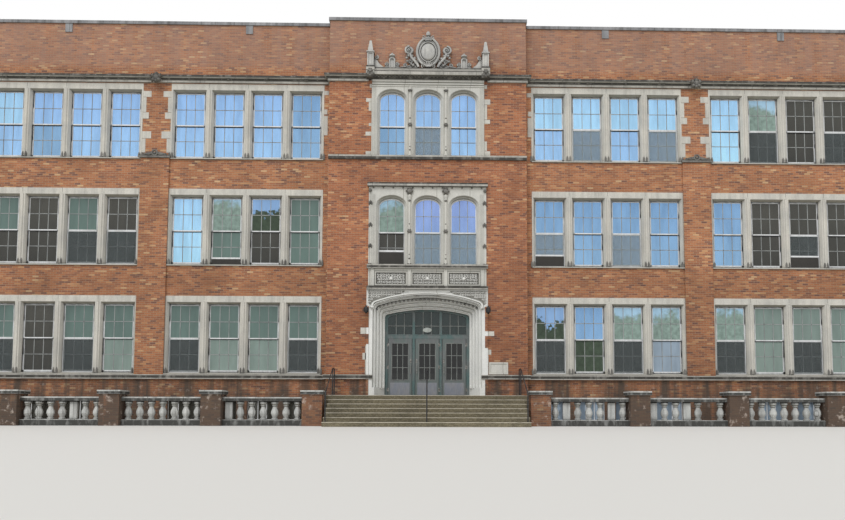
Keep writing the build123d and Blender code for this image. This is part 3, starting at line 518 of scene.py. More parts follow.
nodeFinish = {
    "frameStone": ("stone_frames_front", "stone_frames_rear"),
    "tripleStone": ("lower_triple_frame", "upper_triple_frame"),
    "entranceStone": ("entrance_surround",),
    "corniceStone": ("cornice",),
    "bandStone": ("window_cornices", "string_courses"),
    "railStone": ("pier_caps", "balustrade_rails", "balusters"),
    "copingStone": ("coping", "pavilion_coping"),
    "bossStone": ("pilaster_caps",),
    "carvedStone": ("crest",),
    "pierBrick": ("balustrade_piers",),
    "concreteSteps": ("entrance_steps",),
    "concreteFloor": ("first_floor", "second_floor", "third_floor"),
    "roofing": ("roof_deck",),
    "paneDark": ("glass_front", "glass_rear"),
    "doorPane": ("door_glass_left", "door_glass_centre", "door_glass_right"),
    "sashPaint": ("sashes_front", "sashes_rear"),
    "framePaint": ("door_frame",),
    "doorPaint": ("door_leaf_left", "door_leaf_centre", "door_leaf_right"),
    "hardware": ("door_hardware_left", "door_hardware_centre", "door_hardware_right", "door_hinges"),
    "railPaint": ("handrails",),
    "lampMetal": ("wall_lamps",),
}
finishOf = {node: finish for finish, members in nodeFinish.items() for node in members}
for node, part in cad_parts.items():
    part.data.materials.clear()
    part.data.materials.append(materials[finishOf.get(node, "brick")])


# modelling helpers

forward = Matrix.Rotation(math.pi / 2, 4, "X")  # turns a shape's top to the front


def leaveEdit():
    if bpy.context.object and bpy.context.object.mode != "OBJECT":
        bpy.ops.object.mode_set(mode="OBJECT")


def clearSelection():
    leaveEdit()
    bpy.ops.object.select_all(action="DESELECT")


def settle(name, scale=(1, 1, 1)):
    piece = bpy.context.object
    piece.name = name
    piece.scale = scale
    bpy.ops.object.transform_apply(location=True, rotation=True, scale=True)
    return piece


def addBox(name, low, high):
    clearSelection()
    bpy.ops.mesh.primitive_cube_add(size=1, location=[(a + b) / 2 for a, b in zip(low, high)])
    return settle(name, [b - a for a, b in zip(low, high)])


def addSlab(name, x, half, front, back, low, high):
    return addBox(name, (x - half, front, low), (x + half, back, high))


def addBar(across, up, front, back, half):
    left, right = across if isinstance(across, tuple) else (across - half, across + half)
    low, high = up if isinstance(up, tuple) else (up - half, up + half)
    return addBox("bar", (left, front, low), (right, back, high))


def addSheet(name, left, right, bottom, top, y):
    clearSelection()
    bpy.ops.mesh.primitive_plane_add(size=1, location=((left + right) / 2, y, (bottom + top) / 2),
        rotation=(math.pi / 2, 0, 0))
    return settle(name, (right - left, top - bottom, 1))


def pick(piece, kind, test):
    bpy.context.view_layer.objects.active = piece
    bpy.ops.object.mode_set(mode="EDIT")
    bpy.ops.mesh.select_mode(type=kind)
    bpy.ops.mesh.select_all(action="DESELECT")
    bpy.ops.object.mode_set(mode="OBJECT")
    if kind == "FACE":
        for face in piece.data.polygons:
            face.select = test(face.center, face.normal)
    elif kind == "EDGE":
        spots = [v.co for v in piece.data.vertices]
        for edge in piece.data.edges:
            edge.select = test(*(spots[n] for n in edge.vertices))
    else:
        for vertex in piece.data.vertices:
            vertex.select = test(vertex.co)
    bpy.ops.object.mode_set(mode="EDIT")


def inset(piece, *steps, top=False):
    pick(piece, "FACE", lambda centre, normal: normal.z > 0.5 if top else normal.y < -0.5)
    for thickness, depth in steps:
        bpy.ops.mesh.inset(thickness=thickness, depth=depth)
    leaveEdit()
    return piece


def selectAll():
    bpy.ops.mesh.select_all(action="SELECT")


def turnOutward():
    selectAll()
    bpy.ops.mesh.normals_make_consistent(inside=False)


def cutAt(spot, normal, **which):
    selectAll()
    bpy.ops.mesh.bisect(plane_co=spot, plane_no=normal, **which)


def extrude(*move):
    bpy.ops.mesh.extrude_region_move(TRANSFORM_OT_translate={"value": move})


def applyModifier(piece, kind, **settings):
    leaveEdit()
    bpy.context.view_layer.objects.active = piece
    modifier = piece.modifiers.new(kind.lower(), kind)
    for setting, value in settings.items():
        setattr(modifier, setting, value)
    bpy.ops.object.modifier_apply(modifier=modifier.name)


def soften(piece, width, segments=2):
    applyModifier(piece, "BEVEL", width=width, segments=segments)
    return piece


def addRing(name, left, right, bottom, top, rim, front, depth):
    ring = addSheet(name, left, right, bottom, top, front)
    bpy.ops.object.mode_set(mode="EDIT")
    bpy.ops.mesh.inset(thickness=rim, depth=0)
    bpy.ops.mesh.delete(type="FACE")
    applyModifier(ring, "SOLIDIFY", thickness=depth, offset=-1)
    return ring


def newCurve(name, dimensions, points, closed):
    curve = bpy.data.curves.new(name, "CURVE")
    curve.dimensions = dimensions
    spline = curve.splines.new("POLY")
    spline.points.add(len(points) - 1)
    for point, spot in zip(spline.points, points):
        point.co = (*spot, 1)
    spline.use_cyclic_u = closed
    return curve


def curveToMesh(name, curve):
    clearSelection()
    piece = bpy.data.objects.new(name, curve)
    scene.collection.objects.link(piece)
    piece.select_set(True)
    bpy.context.view_layer.objects.active = piece
    bpy.ops.object.convert(target="MESH")
    return bpy.context.object


def addFlat(name, outline, front, depth, bevel=0.008):
    curve = newCurve(name, "2D", [(x, z, 0) for x, z in outline], True)
    curve.fill_mode = "BOTH"
    curve.extrude = depth / 2 - bevel
    curve.bevel_depth = bevel
    curve.offset = -bevel
    curve.bevel_resolution = 0
    flat = curveToMesh(name, curve)
    flat.data.transform(Matrix.Translation((0, front + depth / 2, 0)) @ forward)
    return flat


def addRoll(name, points, radius, fineness=1, closed=False, taper=1):
    curve = newCurve(name, "3D", points, closed)
    curve.bevel_depth = radius
    curve.bevel_resolution = fineness
    curve.use_fill_caps = True
    for index, point in enumerate(curve.splines[0].points):
        point.radius = 1 + (taper - 1) * index / (len(points) - 1)
    return curveToMesh(name, curve)


def joinAll(name, parts):
    clearSelection()
    for part in parts:
        part.select_set(True)
    bpy.context.view_layer.objects.active = parts[0]
    if len(parts) > 1:
        bpy.ops.object.join()
    parts[0].name = name
    return parts[0]


def copies(name, unit, moves):
    made = []
    for move in moves:
        twin = bpy.data.objects.new(name, unit.data.copy())
        scene.collection.objects.link(twin)
        twin.data.transform(move)
        made.append(twin)
    bpy.data.objects.remove(unit)
    return joinAll(name, made)


def finishPiece(piece, material, body="building", replaced=()):
    leaveEdit()
    piece.data.materials.clear()
    piece.data.materials.append(materials[material])
    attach(piece, body)
    if replaced:
        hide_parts(*replaced)


# turned, scrolled and arched shapes

def addTurned(name, x, y, base, profile, sides, turn=0.0):
    clearSelection()
    radius, height = profile[0]
    bpy.ops.mesh.primitive_circle_add(vertices=sides, radius=radius, fill_type="NGON",
        location=(x, y, base + height), rotation=(0, 0, turn))
    piece = settle(name)
    bpy.ops.object.mode_set(mode="EDIT")
    selectAll()
    for (radius, height), (wider, higher) in zip(profile, profile[1:]):
        extrude(0, 0, higher - height)
        growth = wider / radius
        bpy.ops.transform.resize(value=(growth, growth, 1), center_override=(x, y, base + higher))
    turnOutward()
    leaveEdit()
    return piece


def arcPoints(centre, radius, start, end, count, y):
    return [(centre[0] + radius * math.cos(start + (end - start) * n / count), y,
        centre[1] + radius * math.sin(start + (end - start) * n / count)) for n in range(count + 1)]


def archPoints(half, foot, springing, rise, shoulder, y, steps=20):
    crown = ((half - shoulder) ** 2 + rise ** 2 - shoulder ** 2) / (2 * (rise - shoulder))
    centreZ = springing + rise - crown
    meet = math.atan2(springing - centreZ, -(half - shoulder))
    points = [(-half, y, foot)] if foot < springing else []
    points += arcPoints((-(half - shoulder), springing), shoulder, math.pi, meet, 5, y)
    points += arcPoints((0, centreZ), crown, meet, math.pi - meet, steps, y)[1:]
    points += arcPoints((half - shoulder, springing), shoulder, math.pi - meet, 0, 5, y)[1:]
    if foot < springing:
        points.append((half, y, foot))
    return points


def ovalPoints(half, z, rise, y, count=32):
    return [(half * math.cos(n * 2 * math.pi / count), y, z + rise * math.sin(n * 2 * math.pi / count))
        for n in range(count)]


def seenFromFront(points, x=0):
    return [(x + spot[0], spot[2]) for spot in points]


def spacedAlong(points, pitch):
    spots = []
    left = pitch / 2
    for a, b in zip(points, points[1:]):
        length = math.dist(a, b)
        slope = math.atan2(b[2] - a[2], b[0] - a[0])
        while left < length:
            share = left / length
            spots.append((tuple(p + (q - p) * share for p, q in zip(a, b)), slope))
            left += pitch
        left -= length
    return spots


def scrollPoints(x, y, z, radius, turns, start, way, count=14):
    points = []
    for n in range(count + 1):
        share = n / count
        angle = start + way * share * turns * 2 * math.pi
        size = radius * (1 - 0.86 * share)
        points.append((x + size * math.cos(angle), y, z + size * math.sin(angle)))
    return points


def addKnob(x, y, z, radius, depth, sides=8, petals=False):
    place = Matrix.Translation((x, y, z))
    shape = ((radius * 0.92, 0), (radius, depth * 0.3), (radius * 0.72, depth * 0.75), (radius * 0.25, depth))
    parts = [addTurned("knob", 0, 0, 0, shape, sides)]
    parts[0].data.transform(place @ forward)
    petal = ((radius * 0.30, 0), (radius * 0.34, depth * 0.5), (radius * 0.12, depth * 0.8))
    for across, back, up in ovalPoints(radius * 1.05, 0, radius * 1.05, 0, 6) if petals else ():
        parts.append(addTurned("leaf", 0, 0, 0, petal, 6))
        parts[-1].data.transform(place @ Matrix.Translation((across, back, up)) @ forward)
    return joinAll("rosette", parts)


def addScroll(x, y, z, radius, way, thickness):
    curl = scrollPoints(x, y, z, radius, 1.75, math.pi / 2, way, 22)
    disc = ovalPoints(radius * 0.92, z, radius * 0.92, 0, 20)
    return [
        addRoll("scroll", curl, thickness, 1, taper=0.45),
        addFlat("disc", seenFromFront(disc, x), y, 0.06, 0.004),
        addKnob(x, y - thickness * 0.4, z, radius * 0.22, thickness * 1.2, 8),
    ]


def addCurls(left, right, bottom, top, y, cell, thickness, keep=None):
    curls = []
    columns = max(1, round((right - left) / cell))
    rows = max(1, round((top - bottom) / cell))
    for row in range(rows):
        for column in range(columns):
            x = left + (column + 0.5) * (right - left) / columns
            z = bottom + (row + 0.5) * (top - bottom) / rows
            if keep and not keep(x, z):
                continue
            way = 1 if (row + column) % 2 else -1
            start = math.pi * (0.25 + 0.5 * ((row * 3 + column * 2) % 4))
            curl = scrollPoints(x, y, z, cell * 0.50, 1.15, start, way, 9)
            curls.append(addRoll("curl", curl, thickness, 0, taper=0.55))
            curls.append(addKnob(x, y + thickness * 0.6, z, cell * 0.13, thickness * 2.0, 5))
    return curls


# where the window groups stand: on the front, the back and the ends

layout = {
    "levels": (1.8198, 5.8048, 9.7898),  # foot of each storey's stone sill
    "frontX": (-13.42, -6.71, 6.71, 13.42),
    "backX": (-13.42, -6.71, 0.0, 6.71, 13.42),
    "endY": 8.5,
    "backY": 17.0,
    "endX": 17.6,
    "pitch": 1.44,
    "lights": 4,
}
lightCentres = [(n - (layout["lights"] - 1) / 2) * layout["pitch"] for n in range(layout["lights"])]
mullionCentres = [(a + b) / 2 for a, b in zip(lightCentres, lightCentres[1:])]


def groupMoves(side):
    moves = []
    for level in layout["levels"]:
        if side == "front":
            moves += [Matrix.Translation((x, 0, level)) for x in layout["frontX"]]
        else:
            moves += [Matrix.Translation((x, layout["backY"], level)) @ Matrix.Rotation(math.pi, 4, "Z")
                for x in layout["backX"]]
            moves += [Matrix.Translation((end * layout["endX"], layout["endY"], level))
                @ Matrix.Rotation(end * math.pi / 2, 4, "Z") for end in (-1, 1)]
    return moves


def lightMoves(side):
    return [move @ Matrix.Translation((x, 0, 0)) for move in groupMoves(side) for x in lightCentres]


# window stones: each light cut back in steps from the face, with a round nose up each mullion

stoneFrameSet = {
    "half": 2.835,
    "top": 2.880,
    "face": -0.012,
    "back": 0.130,
    "lightHalf": 0.562,
    "sill": 0.080,
    "head": 2.590,
    "steps": ((0.012, 0.022), (0.030, 0.050), (0.006, 0.012), (0.012, 0.020)),  # across, back
    "noseHalf": 0.048,
    "noseOut": 0.034,
    "stopHeight": 0.17,
    "stopFromMullion": 0.052,
    "stopHalf": 0.030,
    "sillFront": -0.058,
}


def near(value, places, within=0.002):
    return any(abs(value - place) < within for place in places)


def addWindowStones():
    s = stoneFrameSet
    across, done = (sum(sizes) for sizes in zip(*s["steps"]))
    plate = addSheet("windowStones", -s["half"], s["half"], 0.0, s["top"], s["face"])
    bpy.ops.object.mode_set(mode="EDIT")
    for x in lightCentres:
        for side in (-1, 1):
            cutAt((x + side * (s["lightHalf"] + across), 0, 0), (1, 0, 0))
    for z in (s["sill"] - across, s["head"] + across):
        cutAt((0, 0, z), (0, 0, 1))
    pick(plate, "FACE", lambda centre, normal: near(centre.x, lightCentres, 0.05)
        and s["sill"] < centre.z < s["head"])
    for thickness, depth in s["steps"]:
        bpy.ops.mesh.inset(thickness=thickness, depth=-depth, use_individual=True)
    extrude(0, s["back"] - s["face"] - done, 0)
    bpy.ops.mesh.delete(type="FACE")
    pick(plate, "EDGE", lambda a, b: (near(a.x, (-s["half"], s["half"])) and abs(a.x - b.x) < 1e-4)
        or (near(a.z, (0.0, s["top"])) and abs(a.z - b.z) < 1e-4))
    extrude(0, s["back"] - s["face"], 0)
    noses = [addMullionNose(x) for x in mullionCentres]
    sill = addSlab("sill", 0, s["half"], s["sillFront"], s["back"], 0.0, s["sill"] - across * 0.6)
    return joinAll("windowStones", [plate] + noses + [soften(sill, 0.012, 1)])


def addMullionNose(x):
    s = stoneFrameSet
    clearSelection()
    bpy.ops.mesh.primitive_cylinder_add(vertices=12, radius=1, depth=s["head"] + 0.06 - s["sill"],
        location=(x, s["face"] + 0.004, (s["head"] + 0.06 + s["sill"]) / 2))
    nose = settle("nose", (s["noseHalf"], s["noseOut"], 1))
    bpy.ops.object.mode_set(mode="EDIT")
    cutAt((0, s["face"] + 0.004, 0), (0, 1, 0), clear_outer=True)
    leaveEdit()
    return nose


def addStops():
    s = stoneFrameSet
    stops = []
    for mullion in mullionCentres + [-2.80, 2.80]:
        for side in (-1, 1):
            stop = addSlab("stop", mullion + side * s["stopFromMullion"], s["stopHalf"], s["face"] - 0.040,
                s["face"] + 0.02, s["sill"] - 0.05, s["sill"] + s["stopHeight"] - 0.07)
            stops.append(inset(stop, (0.006, 0.008), (0.012, 0.062), top=True))
    return joinAll("stops", stops)


for side in ("front", "rear"):
    stones = copies("windowStones" + side.capitalize(), addWindowStones(), groupMoves(side))
    finishPiece(stones, "frameStone", replaced=("stone_frames_" + side,))
    print(stones.name, len(stones.data.polygons), "faces")
finishPiece(copies("mullionStops", addStops(), groupMoves("front")), "bossStone")


# double-hung sashes, six panes each, the upper one in front

sashSet = {
    "half": 0.562,
    "bottom": 0.080,
    "middle": 1.335,  # where the two sashes meet
    "top": 2.590,
    "stile": 0.058,
    "headRail": 0.060,
    "footRail": 0.085,
    "meeting": 0.042,
    "front": 0.132,
    "lowerFront": 0.161,
    "thickness": 0.027,
    "bar": 0.024,
    "barDepth": 0.018,
    "shadowStripFront": 0.150,
}


def addSash(bottom, top, foot, head, front, bars):
    s = sashSet
    half, back = s["half"], front + s["thickness"]
    parts = [addRing("sash", -half, half, bottom, top, s["meeting"], front, s["thickness"])]
    for edge in (-half, half - s["stile"]):
        parts.append(addBox("stile", (edge, front, bottom), (edge + s["stile"], back, top)))
    inner = half - s["stile"]
    low, high = bottom + foot, top - head
    for x in (-inner / 3, inner / 3):
        bars.append(addBar(x, (low, high), back - s["barDepth"], back, s["bar"] / 2))
    bars.append(addBar((-inner, inner), (low + high) / 2, back - s["barDepth"], back, s["bar"] / 2))
    if foot > s["meeting"]:
        parts.append(addSlab("rail", 0, half, front, back, bottom, low))
    if head > s["meeting"]:
        parts.append(addSlab("rail", 0, half, front, back, high, top))
    return joinAll("sash", parts)


def addWindow():
    s = sashSet
    bars = []
    overlap = s["meeting"] / 2
    sashes = [addSash(s["middle"] - overlap, s["top"], s["meeting"], s["headRail"], s["front"], bars),
        addSash(s["bottom"], s["middle"] + overlap, s["footRail"], s["meeting"], s["lowerFront"], bars)]
    return joinAll("window", sashes), joinAll("bars", bars)


# a dark strip under each meeting rail: a painted shadow of the gap between the sashes
def addMeetingShadow(x, half, meeting, front):
    return soften(addSlab("strip", x, half, front, front + 0.010, meeting - 0.048, meeting - 0.020), 0.003, 1)


sashesOf, windowBars, meetingShadowStrips = {}, [], []
for side in ("front", "rear"):
    window, bars = addWindow()
    sashesOf[side] = copies("sashes" + side.capitalize(), window, lightMoves(side))
    windowBars.append(copies("bars", bars, lightMoves(side)))
    strip = addMeetingShadow(0, 0.54, sashSet["middle"], sashSet["shadowStripFront"])
    meetingShadowStrips.append(copies("strip", strip, lightMoves(side)))
finishPiece(sashesOf["rear"], "sashPaint", replaced=("sashes_rear",))
print("sashes:", sum(len(piece.data.polygons) for piece in sashesOf.values()), "faces")


# what each sash holds, storey by storey from the first, groups from the left
# s palest sky, l pale sky, b blue sky, v violet sky: painted sky reflections; h a painted dark reflection
# below a bright painted sky g, q and t blinds that show green, teal or misty, g under a painted sky at the
# head, p a pale blind, d a dark room painted as shade m insect screen over a dark room painted as shade, M
# insect screen over a painted blue sky reflection

paneSet = {
    "upper": (
        ("qdqq", "qqqq", "hbgg", "gttt"),
        ("qdqd", "sghq", "bbbb", "bddd"),
        ("slll", "lllb", "ssss", "sgdd"),
    ),
    "lower": (
        ("mdmt", "mttm", "mhmp", "mtmt"),
        ("ddmm", "sqdq", "MbMb", "bdmd"),
        ("lbll", "lllb", "lMlM", "smdm"),
    ),
    "rear": ("lqbd", "bgql", "qldb", "dblq", "lbqd"),
    "thickness": 0.005,
    "blindBack": 0.235,
    "blindHalf": 0.55,
    "blindFold": 0.006,
    "blindThickness": 0.004,
    "screenFront": 0.139,
}
paneFinish = {"s": "paneSky", "l": "paneLight", "b": "paneBlue", "q": "paneTeal", "t": "paneMist",
    "v": "paneViolet", "h": "paneHalf", "g": "paneGreen", "d": "paneDark", "m": "paneDark",
    "M": "paneBlue", "p": "panePale"}


def addPane(upper):
    s = sashSet
    front = (s["front"] if upper else s["lowerFront"]) + s["thickness"] * 0.6
    low, high = (s["middle"], s["top"] - 0.03) if upper else (s["bottom"] + 0.04, s["middle"])
    return addSlab("pane", 0, s["half"] - 0.02, front, front + paneSet["thickness"], low, high)


def addScreen():
    s, front = sashSet, paneSet["screenFront"]
    half = s["half"] - 0.004
    rim = addRing("screen", -half, half, s["bottom"] + 0.002, s["middle"] - 0.024, 0.026, front, 0.012)
    return rim, addSlab("screen", 0, s["half"] - 0.02, front + 0.006, front + 0.009, s["bottom"] + 0.02,
        s["middle"] - 0.04)


def addBlind(upper):
    s = sashSet
    low, high = (s["middle"], s["top"] + 0.03) if upper else (s["bottom"] - 0.02, s["middle"])
    clearSelection()
    bpy.ops.mesh.primitive_grid_add(x_subdivisions=4, y_subdivisions=6, size=1,
        location=(0, paneSet["blindBack"], (low + high) / 2), rotation=(math.pi / 2, 0, 0))
    blind = settle("blind", (paneSet["blindHalf"] * 2, high - low, 1))
    pick(blind, "VERT", lambda spot: round((spot.z - low) / (high - low) * 6) % 2 == 1)
    bpy.ops.transform.translate(value=(0, paneSet["blindFold"], 0))
    applyModifier(blind, "SOLIDIFY", thickness=paneSet["blindThickness"], offset=-1)
    return blind


def lightKinds():
    kinds = []
    for number, move in enumerate(lightMoves("front")):
        group, light = divmod(number, layout["lights"])
        storey, bay = divmod(group, len(layout["frontX"]))
        kinds.append((move, paneSet["upper"][storey][bay][light], paneSet["lower"][storey][bay][light]))
    for number, move in enumerate(lightMoves("rear")):
        group, light = divmod(number, layout["lights"])
        row = paneSet["rear"][group % len(paneSet["rear"])]
        kinds.append((move, row[light], row[(light + group) % len(row)]))
    return kinds


kindTable = lightKinds()


def movesOf(wanted, row):
    return [entry[0] for entry in kindTable if entry[row] in wanted]


panes, blinds = {}, []
for upper, row in ((True, 1), (False, 2)):
    for kind, finish in paneFinish.items():
        moves = movesOf(kind, row)
        if moves:
            panes.setdefault(finish, []).append(copies("pane", addPane(upper), moves))
for upper, row in ((True, 1), (False, 2)):
    blinds.append(copies("blind", addBlind(upper), movesOf("gpqt", row)))
screenRim, screenMesh = addScreen()
finishPiece(copies("screenFrames", screenRim, movesOf("mM", 2)), "sashPaint")
darkMesh = bpy.data.objects.new("screen", screenMesh.data.copy())
scene.collection.objects.link(darkMesh)
paleScreens = [copies("screenCloth", screenMesh, movesOf("M", 2))]
darkScreens = copies("shadedScreenCloth", darkMesh, movesOf("m", 2))
finishPiece(joinAll("blinds", blinds), "blindCloth")


# sizes of the two triple windows

tripleSet = {
    "centres": (-1.325, 0.0, 1.325),
    "half": 0.475,
    "paneHalf": 0.46,
    "rise": 0.29,
    "lower": {"bottom": 5.83, "top": 8.31, "meeting": 7.05, "bars": (6.49, 7.66),
        "kinds": (("d", "g"), ("M", "v"), ("M", "v"))},
    "upper": {"bottom": 9.87, "top": 12.31, "meeting": 11.04, "bars": (10.47, 11.66),
        "kinds": (("b", "l"), ("M", "l"), ("l", "l"))},
    "front": -0.158,
    "back": -0.132,
    "shafts": (-0.6625, 0.6625),
    "stile": 0.035,
    "bar": 0.024,
}


# lower sashes that stand open: their foot rail is raised over a dark slab, a painted shade of the room behind

raisedSet = {
    "lights": ((1, 2, 0, 0.40), (1, 3, 2, 0.42), (1, 1, 1, 0.22)),  # storey, bay, light, height of the gap
    "gap": (0.134, 0.137),
    "rail": (0.128, 0.137, 0.03),
    "archedHeight": 0.52,
    "archedGap": (-0.136, -0.132),
    "archedRail": (-0.142, -0.131, 0.035),
}
gaps, gapRails = [], []


def addGap(x, half, foot, height, gap, rail):
    front, back, railHalf = rail
    gaps.append(addSlab("gap", x, half, *gap, foot, foot + height))
    gapRails.append(addSlab("rail", x, half, front, back, foot + height - railHalf, foot + height + railHalf))


for storey, bay, light, height in raisedSet["lights"]:
    move = lightMoves("front")[(storey * len(layout["frontX"]) + bay) * layout["lights"] + light]
    addGap(0, sashSet["half"] - 0.03, sashSet["bottom"] + 0.02, height, raisedSet["gap"], raisedSet["rail"])
    gaps[-1].data.transform(move)
    gapRails[-1].data.transform(move)
addGap(tripleSet["centres"][0], tripleSet["half"] - 0.02, tripleSet["lower"]["bottom"] + 0.02,
    raisedSet["archedHeight"], raisedSet["archedGap"], raisedSet["archedRail"])
# the dark gap slabs are painted shade
finishPiece(joinAll("openGaps", gaps), "roomShadePane")
finishPiece(joinAll("raisedRails", gapRails), "sashPaint")


# basement lights behind the balustrade

basementSet = {"bottom": 0.15, "top": 0.95, "rim": 0.06, "front": 0.132, "depth": 0.04, "barX": 0.155,
    "barHalf": 0.015, "paneHalf": 0.53}


def addBasementSash():
    s, half = basementSet, sashSet["half"]
    ring = addRing("basementSash", -half, half, s["bottom"], s["top"], s["rim"], s["front"], s["depth"])
    bars = [addBar(side * s["barX"], (s["bottom"] + 0.02, s["top"] - 0.02), s["front"] + 0.008,
        s["front"] + 0.03, s["barHalf"]) for side in (-1, 1)]
    return joinAll("basementSash", [ring] + bars)


basementMoves = [Matrix.Translation((x + light, 0, 0)) for x in layout["frontX"] for light in lightCentres]
finishPiece(copies("basementSashes", addBasementSash(), basementMoves), "sashPaint")
for side, finish in ((-1, "paneDark"), (1, "panePale")):
    s = basementSet
    pane = addSlab("pane", 0, s["paneHalf"], s["front"] + 0.023, s["front"] + 0.028, s["bottom"] + 0.02,
        s["top"] - 0.02)
    moves = [move for move in basementMoves if move.translation.x * side > 0]
    panes[finish].append(copies("pane", pane, moves))


# the arched entrance: rolls on every order, studs and leaves round the arch, carved spandrels
# an order's size is its half width, springing, rise and shoulder

entranceSet = {
    "outer": (1.98, 4.28, 0.50, 0.20),
    "inner": (1.566, 3.96, 0.31, 0.13),
    "orders": 5,
    "face": -0.335,
    "orderDepth": 0.133,
    "foot": 1.36,
    "roll": 0.034,
    "base": ((0.052, 0), (0.055, 0.05), (0.042, 0.07), (0.046, 0.10), (0.036, 0.13)),
    "labelHalf": 2.000,
    "labelFoot": 4.27,
    "border": (2.17, 4.335, 4.885),  # half width, foot, head
    "stud": ((0.036, 0), (0.036, 0.02), (0.006, 0.045)),
    "studPitch": 0.092,
    "leafPitch": 0.150,
}


def orderSize(n):
    s = entranceSet
    share = n / (s["orders"] - 1)
    return [outer + (inner - outer) * share for outer, inner in zip(s["outer"], s["inner"])]


s = entranceSet
mouldings = []
for order in range(s["orders"]):
    half, springing, rise, shoulder = orderSize(order)
    front = s["face"] + order * s["orderDepth"]
    arris = archPoints(half + 0.006, s["foot"], springing, rise, shoulder, front + 0.004)
    mouldings.append(addRoll("arris", arris, 0.013, 1))
    if order:
        half, springing, rise, shoulder = orderSize(order - 0.5)
        roll = archPoints(half, s["foot"], springing, rise, shoulder, front)
        mouldings.append(addRoll("roll", roll, s["roll"], 2))
        mouldings += [addTurned("base", x, front, s["foot"] - 0.012, s["base"], 8) for x in (-half, half)]
half, foot = s["labelHalf"], s["labelFoot"]
label = archPoints(half, foot - 0.01, foot + 0.02, 0.50, 0.20, s["face"] - 0.004)
mouldings.append(addRoll("label", label, 0.036, 2))
mouldings.append(addRoll("label", [(x * 0.972, y - 0.002, z - 0.05) for x, y, z in label], 0.016, 1))
mouldings += [addKnob(x, s["face"], foot, 0.062, 0.06, 8, True) for x in (-half, half)]
half, low, high = s["border"]
border = [(x, s["face"] - 0.006, z) for x, z in ((-half, low), (-half, high), (half, high), (half, low))]
mouldings.append(addRoll("border", border, 0.016, 1))
entranceMouldings = joinAll("entranceMouldings", mouldings)
finishPiece(entranceMouldings, "entranceStone")

carving = []
half, springing, rise, shoulder = orderSize(0)
studLine = archPoints(half - 0.055, springing, springing, rise, shoulder, s["face"] + 0.035)
for spot, slope in spacedAlong(studLine, s["studPitch"]):
    stud = addTurned("stud", 0, 0, 0, s["stud"], 4, math.pi / 4)
    stud.data.transform(Matrix.Translation(spot) @ Matrix.Rotation(-slope, 4, "Y") @ forward)
    carving.append(stud)
half, springing, rise, shoulder = orderSize(1.5)
leafLine = archPoints(half + 0.03, springing, springing, rise, shoulder, s["face"] + 1.75 * s["orderDepth"])
for spot, slope in spacedAlong(leafLine, s["leafPitch"]):
    carving.append(addKnob(*spot, 0.038, 0.05, 6, True))
for half, z, y in ((0.50, 4.705, s["face"] + 0.02), (0.52, 4.60, s["face"] + 1.4 * s["orderDepth"])):
    for shrink in (1.0, 0.82):
        lozenge = ovalPoints(half * shrink, z, 0.040 * shrink, y, 24)
        carving.append(addRoll("lozenge", lozenge, 0.011, 1, closed=True))
entranceCarving = joinAll("entranceCarving", carving)
finishPiece(entranceCarving, "carvedStone")

spandrelSet = {"inner": 0.80, "outer": 2.14, "foot": 4.42, "head": 4.872, "curlsFrom": 0.9, "curlsTo": 2.15}
aboveArch = seenFromFront(archPoints(s["labelHalf"] + 0.03, 4.30, 4.30, 0.50, 0.20, 0.0))


def aboveLabel(x, z):
    tops = [up for across, up in aboveArch if abs(across - x) < 0.22]
    return abs(x) > 0.85 and bool(tops) and z > max(tops) + 0.045 or abs(x) > 2.10


lace, carvedGrounds = [], []
p = spandrelSet
for side in (-1, 1):
    lace += addCurls(*sorted((side * p["curlsFrom"], side * p["curlsTo"])), p["foot"], p["head"] - 0.002,
        s["face"] - 0.010, 0.088, 0.0135, aboveLabel)
    edge = sorted((side * x, z + 0.035) for x, z in aboveArch
        if p["inner"] < side * x < p["outer"] - 0.02 and z + 0.035 < p["head"] - 0.012)
    edge = [(p["inner"], p["head"])] + edge + [(p["outer"], p["foot"]), (p["outer"], p["head"])]
    ground = [(side * x, z) for x, z in edge]
    carvedGrounds.append(addFlat("spandrelGround", ground, s["face"] - 0.006, 0.010, 0.002))
print("entrance carved:", len(entranceMouldings.data.polygons) + len(entranceCarving.data.polygons), "faces")


# bricks toothed over the edge of the surround, and the belt course that laps its jambs

toothSet = {
    "left": (0.088, ((3.53, 4.30), (2.93, 3.29), (1.067, 1.655))),  # width, then foot and head of each brick
    "right": (0.110, ((3.41, 4.30), (2.80, 3.23), (1.067, 1.655))),
    "edge": 2.205,
    "front": -0.343,
    "back": -0.30,
    "belt": (1.965, 2.21),
    "beltCourses": ((1.69, 1.80, -0.385), (1.80, 1.815, -0.375), (1.665, 1.69, -0.370)),
}
s = toothSet
toothBricks, beltEnds = [], []
for side, name in ((-1, "left"), (1, "right")):
    width, spans = s[name]
    for low, high in spans:
        toothBricks.append(addSlab("tooth", side * (s["edge"] - width / 2), width / 2, s["front"], s["back"],
            low, high))
    left, right = sorted(side * x for x in s["belt"])
    for low, high, front in s["beltCourses"]:
        beltEnds.append(addBox("beltEnd", (left, front, low), (right, s["back"], high)))
finishPiece(joinAll("toothedBricks", toothBricks), "brick")
finishPiece(joinAll("beltEnds", beltEnds), "bandStone")


# long and short stones beside the entrance, the top window and the third storey's lights
# each is its foot, its head and how far it reaches

